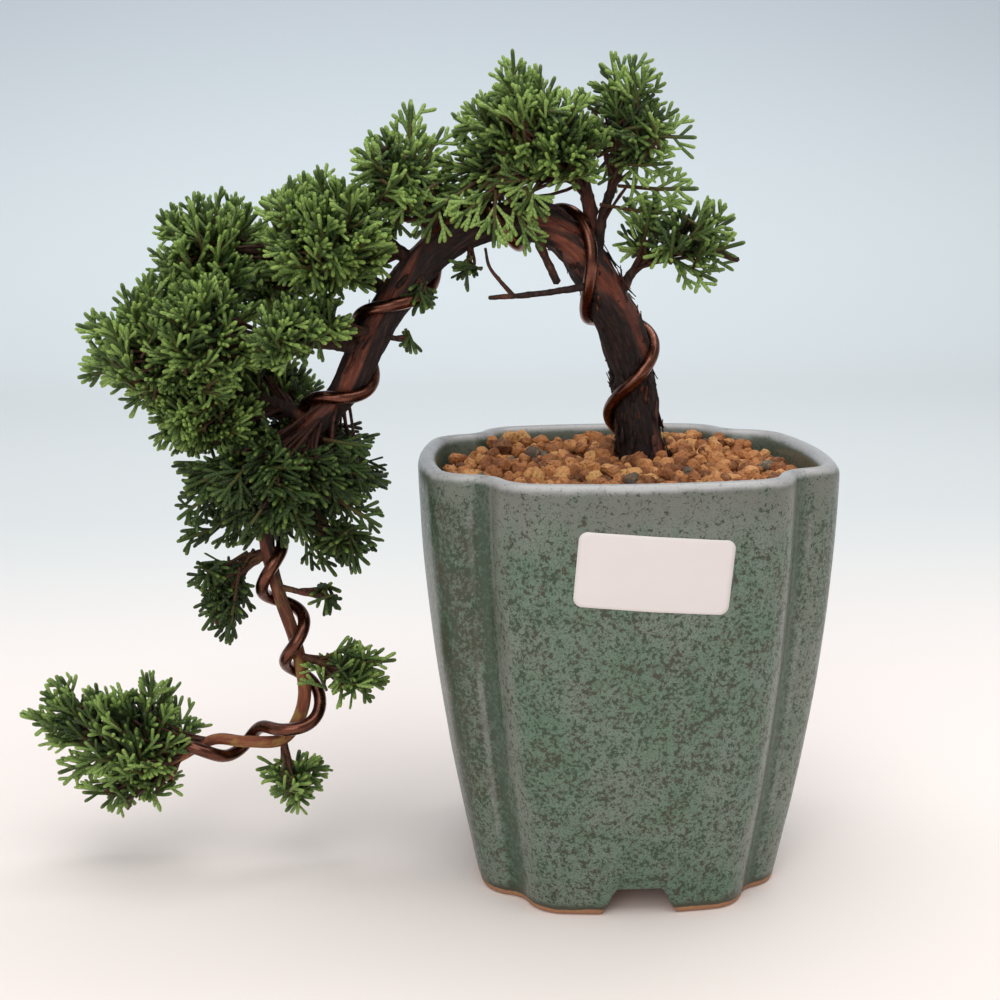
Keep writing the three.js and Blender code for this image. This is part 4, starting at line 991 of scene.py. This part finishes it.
class Shoots:
    """Many curved shoots at once. A shoot runs along start + length (heading t + curl t^2 / 2), t from 0 to
    1. plane is the normal of the spray that it lies in, and tone picks its column of the map."""

    FIELDS = ("start", "heading", "curl", "plane", "length", "girth", "tone")

    def __init__(self, **fields):
        for name in self.FIELDS:
            setattr(self, name, fields[name])

    def at(self, t):
        t = t[:, None]
        return self.start + self.length[:, None] * (self.heading * t + self.curl * t ** 2 / 2)

    def keep(self, mask):
        return Shoots(**{name: getattr(self, name)[mask] for name in self.FIELDS})

    @classmethod
    def together(cls, groups):
        return cls(**{name: np.concatenate([getattr(g, name) for g in groups]) for name in cls.FIELDS})

    def side_shoots(self, rng, habit, first, bare, most, longest):
        """Shoots left and right in turn in each shoot's plane, one gap apart from the share first of its
        length to bare millimetres short of its tip. Each is a stub plus a share of the parent beyond it, so
        that the tips end on one rounded outline, and bends back to the parent's own heading."""
        count = len(self.length)
        ranks = np.arange(most)[None] + rng.uniform(0.0, 0.9, (count, most))
        t = first + ranks * habit["gap"] / self.length[:, None]
        turn = np.where((np.arange(most)[None] + rng.integers(0, 2, (count, 1))) % 2, 1.0, -1.0)
        used = t < 1 - bare / self.length[:, None]
        parent = self.keep(np.repeat(np.arange(count), most)[used.ravel()])
        t, turn = t[used], turn[used][:, None]
        number = len(t)
        along = unit(parent.heading + parent.curl * t[:, None])
        side = unit(np.cross(parent.plane, along)) * turn
        bend = np.radians(habit["angle"]) * rng.uniform(0.65, 1.3, number)[:, None]
        tilt = parent.plane * (habit["flat"] * rng.normal(0, 1, number))[:, None]
        heading = unit(np.cos(bend) * along + np.sin(bend) * side + tilt)
        length = (1.7 + habit["reach"] * (1 - t) * parent.length) * rng.uniform(0.65, 1.15, number)
        length = np.minimum(length, longest * rng.uniform(0.7, 1.0, number))
        curl = 0.38 * (along - heading * (along * heading).sum(-1, keepdims=True)) + 0.25 * parent.curl
        curl = curl + rng.normal(0, 0.10, (number, 3))
        rolled = parent.plane + rng.normal(0, 1, (number, 3)) * (0.12 + habit["flat"])
        plane = unit(rolled - heading * (rolled * heading).sum(-1, keepdims=True))
        return Shoots(start=parent.at(t), heading=heading, curl=curl, plane=plane, length=length,
                      girth=parent.girth * rng.uniform(0.86, 1.0, number), tone=parent.tone)

    def skins(self, sides):
        """Tubes with blunt round tips that are thickest just behind the tip, and the corners of the map:
        once across a tile is once round, and up it the way from the tip."""
        blunt = self.girth / self.length
        rows = [0 * blunt, 0.5 + 0 * blunt, 1 - 1.5 * blunt, 1 - 0.34 * blunt]
        shape = np.array([0.80, 0.92, 1.04, 0.72])
        if sides < 5:
            rows, shape = rows[:1] + rows[2:], shape[[0, 2, 3]]
        t = np.sort(np.clip(np.stack(rows, -1), 0, 1), -1)
        centre = self.start[:, None] + self.length[:, None, None] * (
            self.heading[:, None] * t[..., None] + self.curl[:, None] * t[..., None] ** 2 / 2)
        along = unit(self.heading[:, None] + self.curl[:, None] * t[..., None])
        front = unit(self.plane[:, None] - along * (self.plane[:, None] * along).sum(-1, keepdims=True))
        side = np.cross(along, front)
        angles = np.linspace(0, 2 * np.pi, sides, endpoint=False)
        radius = self.girth[:, None] * shape
        spoke = 0.88 * np.cos(angles)[:, None] * front[:, :, None]
        spoke = spoke + np.sin(angles)[:, None] * side[:, :, None]
        rings = centre[:, :, None] + radius[..., None, None] * spoke
        tip = self.start + self.length[:, None] * (self.heading + self.curl / 2)
        return (*skins(rings, self.start, tip), self.map_corners(t, sides))

    def map_corners(self, t, sides):
        """Map pairs for the corners of the quads and of the triangles of skins()."""
        column = np.clip(np.round(self.tone), 0, TILES - 1)
        reach = np.log(np.maximum(self.length, TILE_REACH) / TILE_REACH) / math.log(TILE_GROWTH)
        row = np.clip(np.ceil(reach), 0, TILES - 1)
        share = self.length / (TILE_REACH * TILE_GROWTH ** row)
        up = np.clip((1 - t) * share[:, None], 0.0, 0.96) + 0.02
        base_up = np.clip(share, 0, 0.965) + 0.02
        around = 0.04 + 0.92 * np.arange(sides + 1) / sides
        u, v = (column[:, None] + around) / TILES, (row[:, None] + up) / TILES
        here = np.arange(sides)
        quad_u = np.stack([u[:, here], u[:, here + 1], u[:, here + 1], u[:, here]], -1)
        quad_v = np.stack([v[:, :-1], v[:, :-1], v[:, 1:], v[:, 1:]], -1)
        quads = np.stack(np.broadcast_arrays(quad_u[:, None], quad_v[:, :, None]), -1)
        middle = (u[:, here] + u[:, here + 1]) / 2
        ends = []
        for pole_v, ring_v, order in (((row + base_up) / TILES, v[:, 0], (1, 0)),
                                      ((row + 0.012) / TILES, v[:, -1], (0, 1))):
            corner_u = np.stack([middle, u[:, here + order[0]], u[:, here + order[1]]], -1)
            corner_v = np.stack([pole_v, ring_v, ring_v], -1)[:, None]
            ends.append(np.stack(np.broadcast_arrays(corner_u, corner_v), -1))
        return quads.reshape(-1, 2), np.concatenate(ends, 1).reshape(-1, 2)


def around_points(count):
    """Even directions on a ball: heights in equal steps, each turned by the golden angle."""
    height = 1 - 2 * (np.arange(count) + 0.5) / count
    angle = GOLDEN_ANGLE * np.arange(count)
    ring = np.sqrt(1 - height ** 2)
    return np.stack([ring * np.cos(angle), ring * np.sin(angle), height], -1)


def depth_in(points, masses):
    """Least share of the way out from the middle of any of the masses: 0 at a middle, 1 on a skin."""
    away = (points[:, None] - masses[None, :, :3]) / masses[None, :, 3:]
    return np.linalg.norm(away, axis=-1).min(1)


def shoots_between(rng, start, goal, bow, facing=None):
    """Shoots from each start to each goal, bowed up by a share of their length, lying in random planes or in
    those that face one way."""
    up = np.array([0.0, 0.0, 1.0])
    length = np.linalg.norm(goal - start, axis=1)
    straight = unit(goal - start)
    rise = up - straight * straight[:, 2:]
    across = rng.normal(size=start.shape) if facing is None else rng.normal(facing, 0.35, start.shape)
    plane = unit(across - straight * (across * straight).sum(-1, keepdims=True))
    return Shoots(start=start, heading=straight - bow * rise, curl=2 * bow * rise, plane=plane,
                  length=length, girth=rng.uniform(0.60, 0.70, len(start)),
                  tone=rng.uniform(0, 0.49, len(start)))


def spray_leaders(rng, mass, habit, wood):
    """The leading shoots of one mass. They end evenly spread in its outer half and near its skin, and grow
    partly out from its middle, partly away from the wood that bears it and partly up or down with the habit,
    mostly across the depth. Those that end deep in another mass, or start near their own mass's skin, are
    left out."""
    centre, radii = np.array(mass[:3], float), np.array(mass[3:], float)
    pairs = (radii * np.roll(radii, 1)) ** 1.6
    area = 4 * math.pi * (pairs.sum() / 3) ** (1 / 1.6)
    count = max(8, int(area / SPRAY_ROOM * habit["crowd"]))
    way = around_points(count)
    way = unit(way @ np.linalg.qr(rng.normal(size=(3, 3)))[0] + rng.normal(0, 0.15, (count, 3)))
    goal = centre + way * radii * rng.uniform(0.45, 1.12, (count, 1))
    near = wood.line[np.linalg.norm(wood.line - centre, axis=1).argmin()]
    growth = (centre - near) / radii.mean() * 0.5 + np.array([0.0, 0.0, habit["lift"]])
    heading = unit(way * np.array([0.9, 0.5, 0.9]) + growth + rng.normal(0, 0.25, (count, 3)))
    length = rng.uniform(0.62, 0.98, (count, 1)) * (radii.mean() * 0.62 + 6)
    leaders = shoots_between(rng, goal - heading * length, goal, 0.16 * habit["lift"])
    others = ALL_MASSES[np.abs(ALL_MASSES - np.array(mass, float)).max(1) > 1e-6]
    starts_inside = depth_in(leaders.start, np.array([mass], float)) < 0.85
    return leaders.keep((depth_in(goal, others) > 0.60) & starts_inside)


def pad_shoots(rng, pad, wood):
    """The leaders of a cluster, with their side shoots, and the shorter shoots on those."""
    _, habit, masses = PADS[pad]
    groups = [spray_leaders(rng, mass, habit, wood) for mass in masses]
    if pad in SPRAYS:
        ends = np.array(SPRAYS[pad], float)
        groups.append(shoots_between(rng, ends[:, :3], ends[:, 3:], 0.10, facing=(0.0, -1.0, 0.2)))
    leaders = Shoots.together(groups)
    sides = leaders.side_shoots(rng, habit, 0.14, 4.0, 14, 12.0)
    sides.tone = rng.uniform(2.0, 5.6, len(sides.tone))
    small = sides.keep(sides.length > habit["fork"]).side_shoots(rng, habit, 0.20, 2.8, 5, 6.0)
    small.tone = small.tone + 0.7
    middles = np.array(masses, float)
    # Tones drop deep inside the cluster: partly older inner leaves, partly painted shade of the cluster's
    # inside; the habit's shade is painted light above 1 and painted shade below 1.
    for group in (sides, small):
        depth = depth_in(group.at(np.ones(len(group.length))), middles)
        group.tone = group.tone * habit["shade"] * (0.30 + 0.95 * ease(depth, 0.45, 1.0))
        group.tone = np.clip(group.tone, 1, TILES - 1)
    return leaders, sides, small


def twig_skins(rng, leaders, wood):
    """Twigs from the bearing branch to where each spray starts: quadratic curves that leave the branch a
    little below the nearest point and bend to the spray's own heading."""
    line = wood.line[::8]
    away = np.linalg.norm(leaders.start[:, None] - line[None], axis=-1)
    hub = line[np.maximum(away.argmin(1) - rng.integers(1, 7, len(away)), 0)]
    joint = leaders.start + leaders.heading * 2.5
    bend = (hub + joint) / 2 - leaders.heading * 0.22 * away.min(1)[:, None]
    t = np.linspace(0, 1, 6)[None, :, None]
    middle = hub[:, None] * (1 - t) ** 2 + 2 * bend[:, None] * t * (1 - t) + joint[:, None] * t ** 2
    slope = unit(np.gradient(middle, axis=1))
    front = unit(leaders.plane[:, None] - slope * (leaders.plane[:, None] * slope).sum(-1, keepdims=True))
    side = np.cross(slope, front)
    angles = np.linspace(0, 2 * np.pi, 5, endpoint=False)
    radius = (0.58 - 0.12 * t[..., 0]) * rng.uniform(0.8, 1.15, (len(away), 6))
    spoke = np.cos(angles)[:, None] * front[:, :, None] + np.sin(angles)[:, None] * side[:, :, None]
    rings = middle[:, :, None] + radius[..., None, None] * spoke
    return skins(rings, middle[:, 0], middle[:, -1])


def foliage_pieces(leaf, bark):
    """One leafy piece and one twiggy piece for each cluster."""
    for index, (pad, (branch, _, _)) in enumerate(PADS.items()):
        rng = np.random.default_rng(100 + index)
        wood = Stem(TRUNK if branch == "trunk" else BRANCHES[branch])
        leaders, sides, small = pad_shoots(rng, pad, wood)
        parts = [Shoots.together([leaders, sides]).skins(5), small.skins(4)]
        points, quads, triangles = gather([part[:3] for part in parts])
        uv = [np.concatenate([part[3][kind] for part in parts]) for kind in (0, 1)]
        name = pad.removesuffix("_pad")
        new_piece(name + "_leaves", points, [quads, triangles], leaf, [pad], uv=uv)
        points, quads, triangles = twig_skins(rng, leaders, wood)
        twigs = new_piece(name + "_twigs", points, [quads, triangles], bark,
                          values={"peel": np.full(len(points), 0.25), "youth": np.full(len(points), 0.05)})
        add_vectors(twigs, "unrolled", points * MM)


# ---------------------------------------------------------------- stage, light and camera
def stage():
    """A floor that sweeps up into a backdrop: a profile across the depth, carried along X."""
    back, bend, wall = 1.3, 0.9, 3.2
    arc = np.linspace(0, np.pi / 2, 24)
    flat = np.array([[-2.5, 0.0], [0.0, 0.0], [back / 2, 0.0]])
    curve = np.stack([back + bend * np.sin(arc), bend * (1 - np.cos(arc))], -1)
    profile = np.vstack([flat, curve, [[back + bend, wall]]])
    n = len(profile)
    points = np.column_stack([np.repeat([-3.5, 3.5], n), np.tile(profile, (2, 1))])
    faces = [(i, i + n, i + n + 1, i + 1) for i in range(n - 1)]
    mesh = bpy.data.meshes.new("sweep")
    mesh.from_pydata(points.tolist(), [], faces)
    mesh.shade_smooth()
    f = Finish("backdrop_paper", Roughness=0.9)
    # The backdrop is graded darker behind the pot and up the wall, and bluer there: the darkening is painted
    # light falloff.
    high = f.step(f.axis(f.coords(), "Z"), 0.0, 1.0)
    depth = f.axis(f.coords(), "Y")
    colour = f.blend(f.step(depth, 0.05, 0.55), (0.91, 0.825, 0.785), (0.690, 0.715, 0.715))
    colour = f.blend(f.step(depth, 0.9, 2.0), colour, (0.76, 0.82, 0.84))
    colour = f.blend(high, colour, (0.437, 0.469, 0.528))
    f.finish(Base_Color=colour)
    mesh.materials.append(f.material)
    sweep = bpy.data.objects.new("sweep", mesh)
    bpy.context.scene.collection.objects.link(sweep)


def area_light(name, spot, target, size, power, colour):
    lamp = bpy.data.lights.new(name, "AREA")
    lamp.shape = "RECTANGLE"
    lamp.size, lamp.size_y = size
    lamp.energy = power
    lamp.color = colour
    obj = bpy.data.objects.new(name, lamp)
    obj.location = spot
    obj.rotation_euler = (Vector(target) - Vector(spot)).to_track_quat("-Z", "Y").to_euler()
    bpy.context.scene.collection.objects.link(obj)


def light():
    area_light("overhead_softbox", (0.1, -0.25, 1.15), (0, 0, 0.1), (1.3, 1.1), 9.5, (1.0, 0.99, 0.97))
    area_light("front_softbox", (-0.5, -1.3, 0.75), (0, 0, 0.12), (1.0, 0.9), 6.0, (1.0, 0.985, 0.97))
    area_light("backdrop_wash", (0.0, 0.6, 1.8), (0, 1.9, 0.6), (2.4, 0.6), 22.0, (0.95, 0.98, 1.0))
    world = bpy.data.worlds.new("pale_room")
    world.use_nodes = True
    background = world.node_tree.nodes["Background"]
    background.inputs["Color"].default_value = (0.93, 0.955, 0.98, 1.0)
    background.inputs["Strength"].default_value = 0.46
    bpy.context.scene.world = world


def camera():
    """Stands 400 mm before the pot, left of its axis, and looks slightly down and to the right."""
    eye = place([-55.0, -399.0, 186.93])
    heading, pitch, roll = math.radians(2.79), math.radians(-10.883), math.radians(-0.613)
    level = Vector((math.sin(heading), math.cos(heading), 0))
    forward = level * math.cos(pitch) + Vector((0, 0, math.sin(pitch)))
    right = forward.cross(Vector((0, 0, 1))).normalized()
    up = right.cross(forward)
    right, up = (right * math.cos(roll) + up * math.sin(roll), up * math.cos(roll) - right * math.sin(roll))
    data = bpy.data.cameras.new("camera")
    data.lens = 49.8
    data.sensor_width = 36
    data.clip_start = 0.01
    obj = bpy.data.objects.new("camera", data)
    obj.matrix_world = Matrix.Translation(Vector(eye)) @ Matrix((right, up, -forward)).transposed().to_4x4()
    bpy.context.scene.collection.objects.link(obj)
    bpy.context.scene.camera = obj


def dress(node, finish):
    """Gives a CAD node that stays a better material."""
    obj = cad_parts[node]
    if not obj.material_slots:
        obj.data.materials.append(finish)
    for slot in obj.material_slots:
        slot.material = finish


def build():
    camera()
    light()
    stage()
    bark = bark_finish()
    pot_piece(glaze_finish())
    label_piece(paper_finish())
    gravel_piece(stone_finish())
    dress("potting_soil", soil_finish())
    dress("drain_mesh", plastic_finish())
    dress("mesh_clip", clip_finish())
    trunk_piece(bark)
    flake_piece(bark)
    wire_piece(wire_finish())
    for index, name in enumerate(BRANCHES):
        branch_piece(name, bark, index)
    foliage_pieces(leaf_finish(), bark)
    bpy.context.scene.view_settings.view_transform = "Standard"


build()
